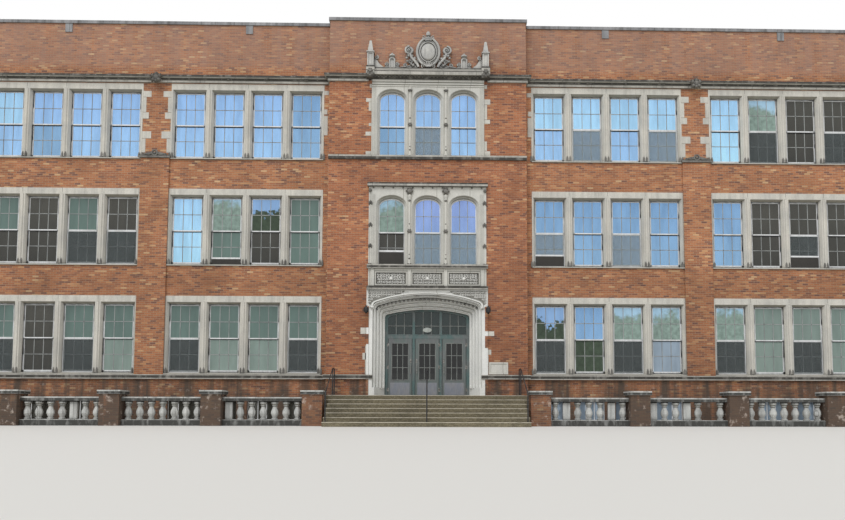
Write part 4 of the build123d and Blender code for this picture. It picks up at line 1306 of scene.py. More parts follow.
quoinSet = {
    "left": ((3.29, 3.53, 2.41), (2.36, 2.61, 2.33), (1.82, 2.88, 2.235), (12.46, 12.62, 2.16),
        (11.92, 12.07, 2.29), (11.58, 11.92, 2.19), (11.00, 11.13, 2.18), (10.64, 10.80, 2.30),
        (9.91, 10.06, 2.29)),
    "right": ((3.23, 3.41, 2.43), (2.55, 2.745, 2.32), (1.82, 2.53, 2.225), (12.46, 12.62, 2.19),
        (11.86, 12.07, 2.31), (11.29, 11.86, 2.19), (11.13, 11.29, 2.30), (10.10, 10.47, 2.18),
        (9.91, 10.10, 2.30)),
    "beside": ((12.29, 12.47, 0.17), (11.55, 11.75, 0.12), (10.75, 11.50, 0.14)),
    "others": ((12.15, 12.39, 0.30), (11.57, 12.15, 0.12), (11.32, 11.57, 0.22), (10.57, 10.85, 0.33),
        (10.03, 10.57, 0.13)),
    "pavilionEdge": 2.05,
    "pavilionFace": -0.304,
    "wallFace": -0.004,
    "depth": 0.05,
}


def addQuoin(inner, outer, low, high, face):
    left, right = sorted((inner, outer))
    stone = addBox("quoin", (left, face, low + 0.004), (right, face + quoinSet["depth"], high - 0.004))
    return inset(stone, (0.004, 0.003))


s = quoinSet
quoins = []
for side, name in ((-1, "left"), (1, "right")):
    for low, high, reach in s[name]:
        quoins.append(addQuoin(side * s["pavilionEdge"], side * reach, low, high, s["pavilionFace"]))
    for bay in layout["frontX"]:
        edge = bay + side * (stoneFrameSet["half"] - 0.02)
        for low, high, reach in s["beside" if abs(edge) < s["pavilionEdge"] * 2 else "others"]:
            quoins.append(addQuoin(edge, edge + side * (reach + 0.02), low, high, s["wallFace"]))
finishPiece(joinAll("quoins", quoins), "frameStone")

plaqueSet = {"middle": 2.585, "half": 0.345, "front": -0.318, "back": -0.26, "bottom": 1.84, "top": 2.28}
s = plaqueSet
plaque = addSlab("plaque", s["middle"], s["half"], s["front"], s["back"], s["bottom"], s["top"])
finishPiece(inset(plaque, (0.008, 0.004), (0.045, 0), (0.012, -0.020)), "tripleStone")


# the two triple windows: arched sashes with their bars

def addArchFace(name, x, y, springing, half, rise, drop, sides):
    clearSelection()
    bpy.ops.mesh.primitive_circle_add(vertices=sides, radius=1, fill_type="NGON", location=(x, y, springing),
        rotation=(math.pi / 2, 0, 0))
    face = settle(name, (half, rise, 1))
    bpy.ops.object.mode_set(mode="EDIT")
    cutAt((0, 0, springing), (0, 0, 1), clear_inner=True)
    pick(face, "EDGE", lambda a, b: abs(a.z - springing) < 1e-4 and abs(b.z - springing) < 1e-4)
    extrude(0, 0, -drop)
    selectAll()
    bpy.ops.mesh.select_mode(type="FACE")
    bpy.ops.mesh.dissolve_faces()
    return face


def addArchRing(x, foot, springing, rise, half, rim, front, depth):
    ring = addArchFace("archRing", x, front, springing, half, rise, springing - foot, 32)
    bpy.ops.mesh.inset(thickness=rim, depth=0)
    bpy.ops.mesh.delete(type="FACE")
    leaveEdit()
    if ring.data.polygons[0].normal.y > 0:
        ring.data.flip_normals()
    applyModifier(ring, "SOLIDIFY", thickness=depth, offset=-1)
    return ring


def addArchedWindow(x, window):
    s = tripleSet
    front, back, half, thin, rim = s["front"], s["back"], s["half"], s["bar"] / 2, s["stile"]
    bottom, meeting, springing = window["bottom"], window["meeting"], window["top"] - s["rise"]
    deep = back - front
    lowFront, lowBack = back + 0.002, back + deep
    inner = half - rim
    parts = [
        addArchRing(x, meeting - 0.02, springing, s["rise"] + 0.01, half + 0.01, rim + 0.01, front, deep),
        addRing("lowerSash", x - half - 0.01, x + half + 0.01, bottom, meeting + 0.02, rim, lowFront, deep),
        addSlab("rail", x, half, lowFront, lowBack + 0.002, bottom, bottom + 0.08),
        addSlab("rail", x, half, front - 0.004, front + 0.012, meeting - 0.022, meeting + 0.022),
    ]
    lowBar, highBar = window["bars"]
    bars = [addBar((x - inner, x + inner), highBar, front + 0.008, back - 0.002, thin),
        addBar((x - inner, x + inner), lowBar, back + 0.010, lowBack, thin)]
    for across in (-inner / 3, inner / 3):
        top = springing + s["rise"] * math.sqrt(1 - (across / half) ** 2) - 0.03
        bars.append(addBar(x + across, (meeting, top), front + 0.008, back - 0.002, thin))
        bars.append(addBar(x + across, (bottom + 0.06, meeting), back + 0.010, lowBack, thin))
    windowBars.append(joinAll("bars", bars))
    return joinAll("archedWindow", parts)


# the stone frames round the arched lights, splayed in from the face

tripleFrameSet = {
    "face": -0.335,
    "back": -0.160,
    "reveal": ((-0.360, 0.590, 0.420), (-0.322, 0.565, 0.397), (-0.314, 0.552, 0.384), (-0.245, 0.505, 0.335),
        (-0.238, 0.492, 0.322), (-0.140, 0.470, 0.300)),  # place, half width, rise
    "lower": {"half": 2.15, "bottom": 4.92, "top": 8.72},
    "upper": {"half": 2.08, "bottom": 9.80, "top": 12.76},
    "panel": {"half": 0.545, "bottom": 5.12, "top": 5.54, "deep": 0.05},
    "courses": ((12.665, 12.76, 0.050), (12.575, 12.645, 0.034), (12.50, 12.555, 0.018)),
    "jambLines": (1.935, 1.985, 2.045),
    "shaftLine": 0.078,
}


def addArchCutter(x, foot, springing):
    stations = tripleFrameSet["reveal"]
    place, half, rise = stations[0]
    cutter = addArchFace("cutter", x, place, springing, half, rise, 4, 40)
    for (place, half, rise), (deeper, narrower, lower) in zip(stations, stations[1:]):
        extrude(0, deeper - place, 0)
        shrink = (narrower / half, 1, lower / rise)
        bpy.ops.transform.resize(value=shrink, center_override=(x, deeper, springing))
    cutAt((0, 0, foot), (0, 0, 1), clear_inner=True, use_fill=True)
    turnOutward()
    leaveEdit()
    return cutter


def addLine(x, y, low, high, radius):
    return addRoll("line", [(x, y, low), (x, y, high)], radius, 1)


def addTripleFrame(row):
    s, size, window, panel = tripleFrameSet, tripleFrameSet[row], tripleSet[row], tripleFrameSet["panel"]
    face = s["face"]
    plate = addSlab("frame", 0, size["half"], face, s["back"], size["bottom"], size["top"])
    springing = window["top"] + 0.01 - s["reveal"][-1][2]
    cutters = [addArchCutter(x, window["bottom"], springing) for x in tripleSet["centres"]]
    if row == "lower":
        cutters += [addSlab("cutter", x, panel["half"], face - 0.05, face + panel["deep"], panel["bottom"],
            panel["top"]) for x in tripleSet["centres"]]
    cutter = joinAll("cutter", cutters)
    applyModifier(plate, "BOOLEAN", object=cutter, operation="DIFFERENCE", solver="EXACT")
    bpy.data.objects.remove(cutter)
    parts = [plate]
    for x in s["jambLines"]:
        parts += [addLine(side * x, face - 0.002, window["bottom"] + 0.01, size["top"] - 0.28, 0.013)
            for side in (-1, 1)]
    for low, high, out in s["courses"] if row == "upper" else ():
        parts.append(soften(addSlab("course", 0, size["half"], face - out, face + 0.02, low, high), 0.010))
    low, high = window["bottom"] + 0.02, size["top"] - 0.36
    tall = high - low
    shaft = ((0.070, 0), (0.070, 0.06), (0.050, 0.09), (0.046, 0.14), (0.046, tall - 0.16),
        (0.060, tall - 0.13), (0.046, tall - 0.09), (0.078, tall), (0.078, tall + 0.05), (0.030, tall + 0.10),
        (0.010, tall + 0.22))
    for x in tripleSet["shafts"]:
        parts.append(addTurned("shaft", x, face + 0.004, low, shaft, 8, math.pi / 8))
        parts += [addLine(x + side * s["shaftLine"], face - 0.002, low, high, 0.012) for side in (-1, 1)]
    return joinAll(row + "TripleFrame", parts)


for row in ("lower", "upper"):
    tripleFrame = addTripleFrame(row)
    finishPiece(tripleFrame, "tripleStone", replaced=(row + "_triple_frame",))
    print(tripleFrame.name, len(tripleFrame.data.polygons), "faces")

arched = []
for row in ("lower", "upper"):
    window, front, back, half = tripleSet[row], tripleSet["front"], tripleSet["back"], tripleSet["paneHalf"]
    bottom, meeting, top = window["bottom"], window["meeting"], window["top"]
    for x, (lowKind, highKind) in zip(tripleSet["centres"], window["kinds"]):
        arched.append(addArchedWindow(x, window))
        meetingShadowStrips.append(addMeetingShadow(x, half, meeting, back - 0.006))
        for kind, place, low, high in ((lowKind, back + 0.018, bottom + 0.03, meeting),
                (highKind, back - 0.014, meeting, top - 0.02)):
            pane = addSlab("pane", x, half, place, place + paneSet["thickness"], low, high)
            panes.setdefault(paneFinish[kind], []).append(pane)
        if lowKind == "M":
            paleScreens.append(addSlab("screen", x, half - 0.01, front + 0.004, front + 0.008, bottom + 0.04,
                meeting - 0.03))
finishPiece(joinAll("archedSashes", arched), "sashPaint")


# their capitals, corbels, leaf bands and carved panels

capSet = {
    "knobs": ((8.20, 0.050), (7.33, 0.030), (7.06, 0.062), (6.20, 0.028), (6.05, 0.036), (5.79, 0.075),
        (8.55, 0.105), (12.36, 0.060), (11.30, 0.034), (11.05, 0.062), (10.22, 0.028), (10.10, 0.036)),
    "petalsFrom": 0.055,
    "corbels": (8.15, 7.33, 6.55),
    "corbelX": 2.09,
    "corbelLeaf": ((0.012, -0.07), (0.030, -0.01), (0.034, 0.02), (0.008, 0.06)),
    "cornerKnobs": ((5.78, 0.075), (8.57, 0.05)),
    "cornerX": 2.10,
    "beadX": 1.98,
    "beads": 12,
    "beadZ": 8.68,
}
s = capSet
ornaments = []
front = tripleFrameSet["face"]
for z, size in s["knobs"]:
    ornaments += [addKnob(x, front - 0.025, z, size, size * 0.8, 8, size > s["petalsFrom"])
        for x in tripleSet["shafts"]]
for side in (-1, 1):
    for z in s["corbels"]:
        for out in (-0.045, 0.0, 0.045):
            x = side * s["corbelX"] + out
            ornaments.append(addTurned("leaf", x, front - 0.012, z - abs(out), s["corbelLeaf"], 6))
    ornaments += [addKnob(side * s["cornerX"], front - 0.03, z, size, size * 0.8, 8, True)
        for z, size in s["cornerKnobs"]]
for n in range(s["beads"]):
    x = s["beadX"] * (2 * n / (s["beads"] - 1) - 1)
    ornaments.append(addKnob(x, front - 0.02, s["beadZ"], 0.030, 0.035, 6))
tripleOrnaments = joinAll("tripleOrnaments", ornaments)
finishPiece(tripleOrnaments, "bossStone")

s = tripleFrameSet["panel"]
rims = []
half, foot, top = s["half"], s["bottom"], s["top"]
for x in tripleSet["centres"]:
    lace += addCurls(x - 0.50, x + 0.50, foot + 0.02, top - 0.02, front + 0.030, 0.10, 0.015)
    lace.append(addKnob(x, front + 0.030, (foot + top) / 2, 0.055, 0.04, 8, True))
    rims.append(addSlab("panelGround", x, half - 0.005, front + 0.044, front + 0.060, foot + 0.002,
        top - 0.002))
    for out in (0.0, 0.06):
        wide = half + out
        rims.append(addRing("panelRim", x - wide, x + wide, foot - out, top + out, 0.012, front - 0.010, 0.02))
finishPiece(joinAll("carvedLace", lace), "laceStone")
finishPiece(joinAll("carvedGround", rims + carvedGrounds), "groundStone")

stripSet = {"centres": (-1.995, -0.6625, 0.6625, 1.995), "half": 0.060, "front": -0.375, "back": -0.325,
    "bottom": 5.045, "top": 5.685}
s = stripSet
strips = []
for x in s["centres"]:
    strip = addSlab("strip", x, s["half"], s["front"], s["back"], s["bottom"], s["top"])
    strips.append(inset(strip, (0.026, 0), (0.008, -0.012)))
reveal = tripleFrameSet["reveal"]
for row in ("lower", "upper"):
    springing = tripleSet[row]["top"] + 0.01 - reveal[-1][2]
    foot = tripleSet[row]["bottom"] + 0.02
    for x in tripleSet["centres"]:
        for place, half, rise in (reveal[1], reveal[3]):
            arch = ovalPoints(half, springing, rise, place - 0.002)[:17]
            hood = [(half, place - 0.002, foot)] + arch + [(-half, place - 0.002, foot)]
            strips.append(addRoll("hood", [(x - across, y, up) for across, y, up in hood], 0.012, 1))
finishPiece(joinAll("tripleMouldings", strips), "tripleStone")
print("triple windows dressed:", len(tripleOrnaments.data.polygons), "faces")


# the crest over the top window: an oval shield in straps, volutes, urns and pinnacles

crestSet = {
    "base": 13.18,
    "wall": -0.300,
    "front": -0.430,
    "shieldZ": 13.80,
    "outer": (0.455, 0.58),
    "inner": (0.310, 0.375),
    "dome": (0.275, 0.085, 0.335),
    "volute": (0.695, 13.86, 0.165),  # across, up, radius
    "scrolls": ((0.66, 0.035, 0.27, 0.095, 0.028), (0.86, 0.045, 0.13, 0.070, 0.022)),
    "strap": ((-0.02, 0.03, -0.14), (-0.08, 0.02, -0.28), (-0.20, 0.01, -0.42), (-0.30, 0, -0.56),
        (-0.34, 0, -0.65)),
    "knobs": ((0.50, 0.36, 0.05), (0.46, 0.20, 0.045), (0.60, 0.46, 0.045), (0.62, 0.14, 0.04),
        (0.74, 0.47, 0.05), (0.79, 0.38, 0.045), (0.56, 0.10, 0.045), (0.77, 0.25, 0.04)),
    "finial": ((0.085, 0), (0.050, 0.03), (0.040, 0.06), (0.074, 0.09), (0.084, 0.145), (0.076, 0.20),
        (0.050, 0.245), (0.012, 0.27)),
    "urnX": 1.335,
    "urn": ((0.100, 0), (0.110, 0.03), (0.070, 0.06), (0.115, 0.11), (0.105, 0.16), (0.050, 0.19),
        (0.028, 0.23), (0.010, 0.25)),
    "wing": ((0.08, 0), (0.08, 0.30), (0.15, 0.16), (0.24, 0.07), (0.33, 0.03), (0.33, 0)),
    "pinnacleX": 2.125,
    "pinnacleY": -0.455,
    "shaft": 0.52,
    "spire": ((0.150, 0), (0.135, 0.04), (0.060, 0.40), (0.045, 0.43)),
    "pinnacleRamp": ((0.10, 0), (0.10, 0.40), (0.24, 0.30), (0.33, 0.16), (0.46, 0.06), (0.50, 0)),
}


def rampOutline(side, inner, outer, foot, top):
    curve = [(outer - (outer - inner) * math.cos(n * math.pi / 16), top - (top - foot - 0.04)
        * math.sin(n * math.pi / 16)) for n in range(9)]
    return [(side * across, up) for across, up in [(inner, foot)] + curve + [(outer, foot)]]


def addShield():
    s = crestSet
    base, front, middle = s["base"], s["front"], s["shieldZ"]
    (half, rise), (innerHalf, innerRise) = s["outer"], s["inner"]
    backing = ovalPoints(half - 0.02, middle, rise - 0.02, 0)
    parts = [
        addFlat("backing", seenFromFront(backing), front + 0.02, s["wall"] - front - 0.02, 0.012),
        addRoll("rim", ovalPoints(half - 0.045, middle, rise - 0.045, front + 0.025), 0.052, 2, closed=True),
        addRoll("rim", ovalPoints(innerHalf, middle, innerRise, front + 0.005), 0.026, 2, closed=True),
        addTurned("finial", 0, front + 0.06, middle + rise - 0.03, s["finial"], 12),
    ]
    clearSelection()
    bpy.ops.mesh.primitive_uv_sphere_add(segments=24, ring_count=12, radius=1,
        location=(0, front + 0.02, middle))
    parts.append(settle("dome", s["dome"]))
    bpy.ops.object.shade_smooth()
    for degrees in (67.5, 112.5, 247.5, 292.5):  # straps curled at the head and the foot of the oval
        turn = math.radians(degrees)
        x, z = half * 1.02 * math.cos(turn), middle + rise * math.sin(turn)
        strap = scrollPoints(x, front + 0.01, z, 0.085, 1.3, turn, 1 if x > 0 else -1, 12)
        parts.append(addRoll("strap", strap, 0.022, 1, taper=0.5))
        parts.append(addKnob(x, front + 0.005, z, 0.026, 0.03, 6))
    for n in range(-3, 4):  # leaf crown over the oval, shell under it
        turn = math.radians(n * 24)
        crown = middle + 0.43
        leaf = [(0.03 * n, front - 0.01, crown),
            (0.17 * math.sin(turn), front - 0.03, crown + 0.16 * math.cos(turn))]
        parts.append(addRoll("leaf", leaf, 0.027, 1, taper=0.5))
        turn *= 0.8
        shell = [(0.02 * n, front, base + 0.05),
            (0.25 * math.sin(turn), front - 0.02, base + 0.03 + 0.24 * math.cos(turn))]
        parts.append(addRoll("shell", shell, 0.026, 1, taper=0.6))
    return parts


def addVolute(side):
    s = crestSet
    base, front = s["base"], s["front"]
    across, z, radius = s["volute"]
    parts = addScroll(side * across, front + 0.03, z, radius, -side, 0.044)
    for x, back, up, size, thickness in s["scrolls"]:
        parts += addScroll(side * x, front + back, base + up, size, side, thickness)
    strap = [(side * (across + x), front + back, z + up) for x, back, up in s["strap"]]
    parts.append(addRoll("strap", strap, 0.058, 2, taper=0.8))
    bracket = rampOutline(side, 0.36, 1.02, base, base + 0.40)
    parts.append(addFlat("bracket", bracket, front + 0.03, s["wall"] - front - 0.03))
    ramp = rampOutline(side, 0.38, 1.02, base, base + 0.40)[1:-1]
    parts.append(addRoll("ramp", [(x, front + 0.03, up) for x, up in ramp], 0.026, 1, taper=0.8))
    for out, up, size in s["knobs"]:
        parts.append(addKnob(side * out, front + 0.01, base + up, size, 0.05, 7, True))
    return parts


def addUrn(x):
    s = crestSet
    base, front = s["base"], s["front"]
    stand = addSlab("stand", x, 0.115, front + 0.01, s["wall"], base, base + 0.36)
    parts = [inset(stand, (0.035, 0), (0.008, -0.025))]
    parts.append(addTurned("urn", x, front + 0.075, base + 0.36, s["urn"], 8))
    for way in (-1, 1):
        parts += addScroll(x + way * 0.205, front + 0.045, base + 0.155, 0.075, way, 0.020)
        wing = [(across * way + x, base + up) for across, up in s["wing"]]
        parts.append(addFlat("wing", wing, front + 0.05, s["wall"] - front - 0.05, 0.006))
    return parts


def addPinnacle(side):
    s = crestSet
    base, front, head = s["base"], s["front"], s["base"] + s["shaft"]
    x, y = side * s["pinnacleX"], s["pinnacleY"]
    shaft = addSlab("pinnacle", x, 0.115, y - 0.115, y + 0.155, base, head)
    parts = [inset(shaft, (0.040, 0), (0.010, -0.020))]
    parts.append(soften(addSlab("collar", x, 0.145, y - 0.145, y + 0.145, head, head + 0.05), 0.012))
    parts.append(addTurned("spire", x, y, head + 0.05, s["spire"], 4, math.pi / 4))
    parts += addScroll(x - side * 0.215, front + 0.03, base + 0.40, 0.078, side, 0.022)
    ramp = [(x - side * inward, base + up) for inward, up in s["pinnacleRamp"]]
    parts.append(addFlat("ramp", ramp, front + 0.04, s["wall"] - front - 0.04, 0.006))
    return parts


crestParts = addShield()
for side in (-1, 1):
    crestParts += addVolute(side) + addUrn(side * crestSet["urnX"]) + addPinnacle(side)
crest = joinAll("crest", crestParts)
finishPiece(crest, "carvedStone", replaced=("crest",))
print("crest:", len(crest.data.polygons), "faces")


# the main cornice: a pale band under a cove painted dark as shade, a thin fillet and a weathered top

corniceSet = {
    "half": 17.6,
    "depth": 17.0,
    "pavilionHalf": 3.65,
    "pavilionFront": -0.30,
    "crestHalf": 2.20,
    "courses": ((12.695, 12.79, 0.060), (12.79, 12.842, 0.100), (12.842, 12.877, 0.156),
        (12.877, 12.95, 0.180)),  # foot, head, how far out
}
s = corniceSet
courses = []
for low, high, out in s["courses"]:
    half, deep, pavilion, front = s["half"], s["depth"], s["pavilionHalf"], s["pavilionFront"]
    runs = ((pavilion + out, half + out, -out, 0.01), (half - 0.01, half + out, 0.01, deep - 0.01),
        (s["crestHalf"], pavilion + out, front - out, front + 0.01),
        (pavilion - 0.01, pavilion + out, front + 0.01, 0.01))
    blocks = [(-half - out, half + out, deep - 0.01, deep + out)]
    for inner, outer, y, back in runs:
        blocks += [(inner, outer, y, back), (-outer, -inner, y, back)]
    courses += [soften(addBox("course", (left, y, low), (right, back, high)), 0.010, 1)
        for left, right, y, back in blocks]
finishPiece(joinAll("corniceStones", courses), "corniceStone", replaced=("cornice",))


# dark carving: leaf frieze under the crest, bosses on the cornice, scrolls on the pilaster caps

bossSet = {
    "piers": (-16.775, -10.065, 10.065, 16.775),
    "frieze": (30, 1.96, 12.835),  # count, half width, height
    "corners": ((2.05, 12.86, 0.06), (2.20, 12.86, 0.06), (2.125, 12.98, 0.075), (2.125, 12.81, 0.05)),
    "cornice": ((0, 12.70, 0.07), (-0.10, 12.74, 0.08), (0.10, 12.74, 0.08), (0, 12.84, 0.12),
        (-0.13, 12.88, 0.07), (0.13, 12.88, 0.07), (0, 12.95, 0.06)),
    "rosetteZ": 12.80,
    "capZ": 9.815,
    "capArm": ((0.10, 0.005, 0.17), (0.20, 0, 0.10), (0.34, 0, 0.13), (0.50, 0, 0.075)),
}
s = bossSet
bosses = []
count, half, z = s["frieze"]
for n in range(count):
    bosses.append(addKnob(half * (2 * n / (count - 1) - 1), -0.435, z, 0.040, 0.05, 6, n % 2 == 0))
for x, z, size in s["corners"]:
    bosses += [addKnob(side * x, -0.605, z, size, 0.05, 8, True) for side in (-1, 1)]
for x, z, size in s["cornice"]:
    bosses += [addKnob(pier + x, -0.175, z, size, 0.09, 8, True) for pier in s["piers"][1:3]]
for bay in layout["frontX"]:
    bosses += [addKnob(bay + x, -0.105, s["rosetteZ"], 0.036, 0.06, 6, True) for x in lightCentres]
for x in s["piers"]:
    z = s["capZ"]
    bosses.append(soften(addSlab("capSlab", x, 0.565, -0.135, -0.002, z, z + 0.07), 0.012))
    mound = ovalPoints(0.46, z + 0.06, 0.17, 0, 24)[:13]
    bosses.append(addFlat("capMound", seenFromFront(mound, x), -0.100, 0.095))
    ring = [(x + across, y, up) for across, y, up in ovalPoints(0.100, z + 0.185, 0.100, -0.105, 16)]
    bosses.append(addRoll("capRing", ring, 0.030, 2, closed=True))
    bosses.append(addKnob(x, -0.095, z + 0.185, 0.050, 0.04, 8))
    for side in (-1, 1):
        bosses += addScroll(x + side * 0.40, -0.110, z + 0.115, 0.045, side, 0.016)
        arm = [(x + side * out, back - 0.105, z + up) for out, back, up in s["capArm"]]
        bosses.append(addRoll("capArm", arm, 0.026, 1, taper=0.6))
finishPiece(joinAll("darkBosses", bosses), "bossStone", replaced=("pilaster_caps",))


# balustrade: turned vases, a few plain slabs where vases were lost, and one gap

balusterSet = {
    "line": -1.3,
    "foot": 0.21,
    "firstPier": 3.91,
    "pierPitch": 3.42,
    "pierWidth": 0.68,
    "count": 7,
    "vase": ((0.112, 0.0), (0.112, 0.05), (0.075, 0.07), (0.085, 0.10), (0.128, 0.21), (0.124, 0.29),
        (0.078, 0.40), (0.066, 0.45), (0.100, 0.48), (0.080, 0.51), (0.122, 0.55), (0.122, 0.634)),
    "slab": (0.125, 0.055, 0.634),  # half width, half depth, height
    "left": ("vvvvvvs", "vvvvvvv", "vvsvvvv", "vvvvvvv"),
    "right": ("vsvvvsv", "svvsvxv", "vvvvvvv", "vvvvvvv"),  # v vase, s slab, x missing
}
s = balusterSet
moves = {"v": [], "s": [], "x": []}
pitch = (s["pierPitch"] - s["pierWidth"]) / s["count"]
for side, name in ((-1, "left"), (1, "right")):
    for span, row in enumerate(s[name]):
        start = s["firstPier"] + s["pierPitch"] * span + s["pierWidth"] / 2
        for index, kind in enumerate(row):
            x = side * (start + (index + 0.5) * pitch)
            moves[kind].append(Matrix.Translation((x, s["line"], s["foot"])))
vases = copies("balusters", addTurned("vase", 0, 0, 0, s["vase"], 8, math.pi / 8), moves["v"])
half, deep, tall = s["slab"]
slabs = copies("slab", soften(addSlab("slab", 0, half, -deep, deep, 0.0, tall), 0.012, 1), moves["s"])
finishPiece(joinAll("balusters", [vases, slabs]), "railStone", replaced=("balusters",))


# handrails of bent pipe with floor flanges, and the lanterns beside the arch

railSet = {
    "sides": (-3.3, 0.0, 3.3),
    "back": -0.540,
    "head": -0.980,
    "foot": -2.7475,
    "top": 2.0168,
    "low": 1.1024,
    "landing": 1.0668,
    "firstTread": 0.1524,
    "radius": 0.021,
    "bend": 0.07,
    "flange": ((0.045, 0.0005), (0.045, 0.008), (0.030, 0.014), (0.022, 0.016)),
    "footSleeve": ((0.021, 0.0005), (0.021, 0.030)),
}
s = railSet
back, head, foot, top, low, bend = s["back"], s["head"], s["foot"], s["top"], s["low"], s["bend"]
slope = (low - top) / (foot - head)
route = ((back, s["landing"]), (back, top - bend), (back - 0.02, top - 0.02), (back - bend, top),
    (head + bend, top), (head, top - 0.010), (head - bend, top - slope * bend - 0.002),
    (foot + bend, low + slope * bend),
    (foot + 0.012, low - 0.012), (foot, low - bend), (foot, s["firstTread"]))
rails = []
for x in s["sides"]:
    rails.append(addRoll("rail", [(x, y, z) for y, z in route], s["radius"], 2))
    rails.append(addRoll("post", [(x, head, s["landing"]), (x, head, top - 0.012)], s["radius"], 2))
    rails += [addTurned("flange", x, y, s["landing"], s["flange"], 16) for y in (back, head)]
    rails.append(addTurned("flange", x, foot, s["firstTread"], s["footSleeve"], 16))
finishPiece(joinAll("handrails", rails), "railPaint", replaced=("handrails",))

lampSet = {
    "x": 2.2,
    "y": -0.485,
    "foot": 4.01,
    "wall": -0.335,
    "body": ((0.022, 0), (0.040, 0.025), (0.030, 0.040), (0.078, 0.060), (0.090, 0.13), (0.086, 0.19),
        (0.094, 0.20), (0.060, 0.245), (0.026, 0.265), (0.034, 0.28), (0.010, 0.309)),
    "rib": ((0.080, 0.060), (0.092, 0.13), (0.088, 0.19)),
    "ribs": 8,
    "arms": (((0.10, 0.11), (0.05, 0.13), 0.12, 0.014), ((0.11, 0.245), (0.07, 0.225), 0.22, 0.011)),
}
s = lampSet
lanterns = []
for side in (-1, 1):
    x, y, z, wall = side * s["x"], s["y"], s["foot"], s["wall"]
    lanterns.append(addTurned("lantern", x, y, z, s["body"], 8, math.pi / 8))
    for n in range(s["ribs"]):
        turn = math.pi * (2 * n + 1) / s["ribs"]
        rib = [(x + out * math.cos(turn), y + out * math.sin(turn), z + up) for out, up in s["rib"]]
        lanterns.append(addRoll("rib", rib, 0.006, 0))
    for bent, end, fixed, radius in s["arms"]:
        arm = [(x, wall - 0.004, z + fixed)] + [(x, y + back, z + up) for back, up in (bent, end)]
        lanterns.append(addRoll("arm", arm, radius, 1))
    lanterns.append(addKnob(x, wall - 0.002, z + 0.17, 0.055, 0.02, 12))
finishPiece(joinAll("wallLanterns", lanterns), "lampMetal", replaced=("wall_lamps",))


# doors: glazing bars, beads, kick plates, seals and locks on each leaf

doorSet = {
    "leaves": (("left", -1.0, -1), ("centre", 0.0, 1), ("right", 1.0, 1)),  # name, middle, hinge side
    "leafHalf": 0.448,
    "face": 0.330,
    "glass": (0.30, 1.667, 3.017),  # half width, foot, head
    "bar": 0.024,
    "beadRim": 0.022,
    "kick": (0.36, 1.105, 1.56),  # these three give half width, foot and head
    "seal": (0.008, 1.09, 3.185),
    "lock": (0.030, 2.29, 2.43),
    "cylinderZ": 2.37,
}


def addDoorBars(x):
    s = doorSet
    face = s["face"]
    half, foot, head = s["glass"]
    back, rim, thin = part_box("door_glass_left")[0].y - 0.001, s["beadRim"], s["bar"] / 2
    left, right = x - half, x + half
    parts = [addRing("bead", left - rim, right + rim, foot - rim, head + rim, 0.030, face - 0.010,
        back - face + 0.007)]
    for share in (1 / 3, 2 / 3):
        parts.append(addBar(left + (right - left) * share, (foot, head), face + 0.002, back, thin))
        parts.append(addBar((left, right), foot + (head - foot) * share, face + 0.004, back, thin))
    return parts


for name, x, hingeSide in doorSet["leaves"]:
    s = doorSet
    body, face = "door_" + name, s["face"]
    finishPiece(joinAll(name + "DoorBars", addDoorBars(x)), "doorBarPaint", body)
    half, low, high = s["kick"]
    plate = inset(addSlab(name + "KickPanel", x, half, face - 0.004, face + 0.004, low, high), (0.012, 0.003))
    finishPiece(plate, "panelPaint", body)
    half, low, high = s["seal"]
    sealX = s["leafHalf"] - 0.001 - half
    seals = [addSlab("seal", x + out, half, face - 0.002, face + 0.004, low, high) for out in (-sealX, sealX)]
    finishPiece(joinAll(name + "DoorSeals", seals), "sealRubberAndShadow", body)
    half, low, high = s["lock"]
    lockX = x - hingeSide * (s["leafHalf"] - 0.060)
    lock = soften(addSlab("lock", lockX, half, face - 0.005, face + 0.002, low, high), 0.003)
    cylinder = addKnob(lockX, face - 0.005, s["cylinderZ"], 0.014, 0.014, 12)
    finishPiece(joinAll(name + "Lock", [lock, cylinder]), "hardware", body)


# the arched transom over the doors, with its bars, beads, pane and blank oval plate

transomSet = {
    "middles": (-1.0, 0.0, 1.0),
    "posts": ((-1.5, 4.05), (-0.5, 4.24), (0.5, 4.24), (1.5, 4.05)),  # place and head of each bead
    "foot": 1.07,
    "bar": (3.207, 3.337),
    "muntin": 3.667,
    "crown": 4.22,
    "slope": 0.12,
    "lightHalf": 0.45,
    "lights": 0.151,
    "barHalf": 0.013,
    "beadHalf": 0.012,
    "pane": (1.54, 3.32, 3.96, 0.30, 0.12, 0),
    "oval": (0.167, 0.090, 3.517),
}
s = transomSet
bars, beads = [], []
for x in s["middles"]:
    for side in (-1, 1):
        high = s["crown"] - (s["slope"] if x * side > 0.5 else 0.0)
        bars.append(addBar(x + side * s["lights"], (s["bar"][1] - 0.01, high), 0.352, 0.384, s["barHalf"]))
    bars.append(addBar((x - s["lightHalf"], x + s["lightHalf"]), s["muntin"], 0.354, 0.384, s["barHalf"]))
for x, head in s["posts"]:
    beads.append(addSlab("bead", x, s["beadHalf"], 0.322, 0.334, s["foot"], head))
for z in s["bar"]:
    beads.append(addSlab("bead", 0, 1.52, 0.320, 0.334, z - s["beadHalf"], z + s["beadHalf"]))
beads.append(addRoll("bead", archPoints(1.504, 3.96, 3.96, 0.29, 0.11, 0.332), s["beadHalf"], 1))
finishPiece(joinAll("transomBars", bars), "doorBarPaint")
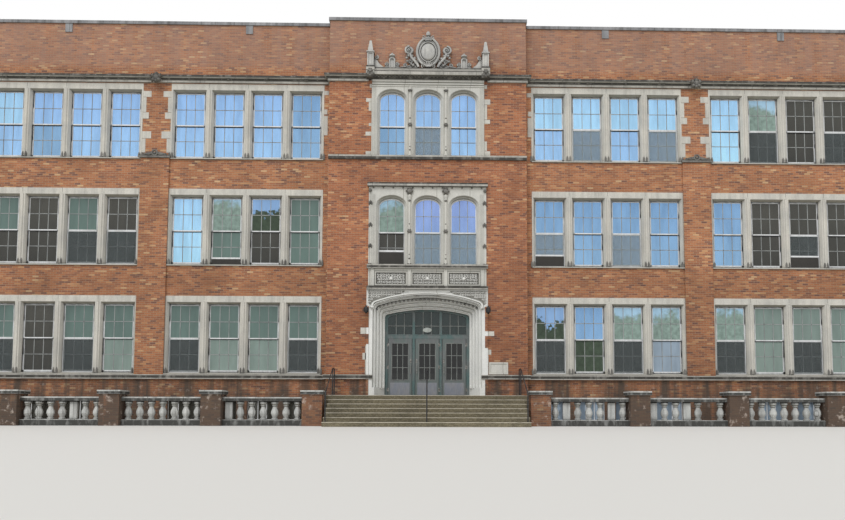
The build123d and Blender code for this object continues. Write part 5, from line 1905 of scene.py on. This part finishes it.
finishPiece(joinAll("transomBeads", beads), "framePaint")
pane = addFlat("transomGlass", seenFromFront(archPoints(*s["pane"])), 0.386, 0.008, 0.001)
finishPiece(pane, "transomPane")
half, rise, z = s["oval"]
plate = addFlat("ovalPlate", seenFromFront(ovalPoints(half, z, rise, 0, 36)), 0.336, 0.018, 0.004)
finishPiece(plate, "platePaint")
print("doors and transom dressed")


# the floor, the sun and the sky, which is brighter where a ray sees it directly

clearSelection()
bpy.ops.mesh.primitive_plane_add(size=lightSet["floorSize"])
floor = settle("floor")
newMaterial("floor", 0.9)[1].inputs["Base Color"].default_value = (*lightSet["floorColour"], 1)
floor.data.materials.append(materials["floor"])

sunLamp = bpy.data.objects.new("sun", bpy.data.lights.new("sun", "SUN"))
scene.collection.objects.link(sunLamp)
sunLamp.data.energy = lightSet["sun"]
sunLamp.data.angle = math.radians(lightSet["sunSize"])
sunLamp.rotation_euler = [math.radians(v) for v in lightSet["sunTurn"]]

world = bpy.data.worlds.new("world")
scene.world = world
world.use_nodes = True
skyShader = world.node_tree.nodes["Background"]
rays = world.node_tree.nodes.new("ShaderNodeLightPath").outputs
direct = maths("MAXIMUM", rays["Is Glossy Ray"], rays["Is Transmission Ray"])
seen = maths("MAXIMUM", rays["Is Camera Ray"], direct)
link(fromTo(seen, 0.0, 1.0, lightSet["world"], 1.0), skyShader.inputs["Strength"])
skyShader.inputs["Color"].default_value = (1, 1, 1, 1)


# the parts gathered on the way

finishPiece(sashesOf["front"], "sashPaint", replaced=("sashes_front",))
finishPiece(joinAll("screenCloth", paleScreens), "screenCloth")
# the darker screen cloth is a painted shade
finishPiece(darkScreens, "shadedScreenCloth")
# the strips under the meeting rails are painted shadow
finishPiece(joinAll("meetingShadowStrips", meetingShadowStrips), "sealRubberAndShadow")
finishPiece(joinAll("windowBars", windowBars), "barPaint")
for number, (finish, parts) in enumerate(panes.items()):
    glass = joinAll(finish + "s", parts)
    finishPiece(glass, finish, replaced=("glass_front", "glass_rear") if number == 0 else ())
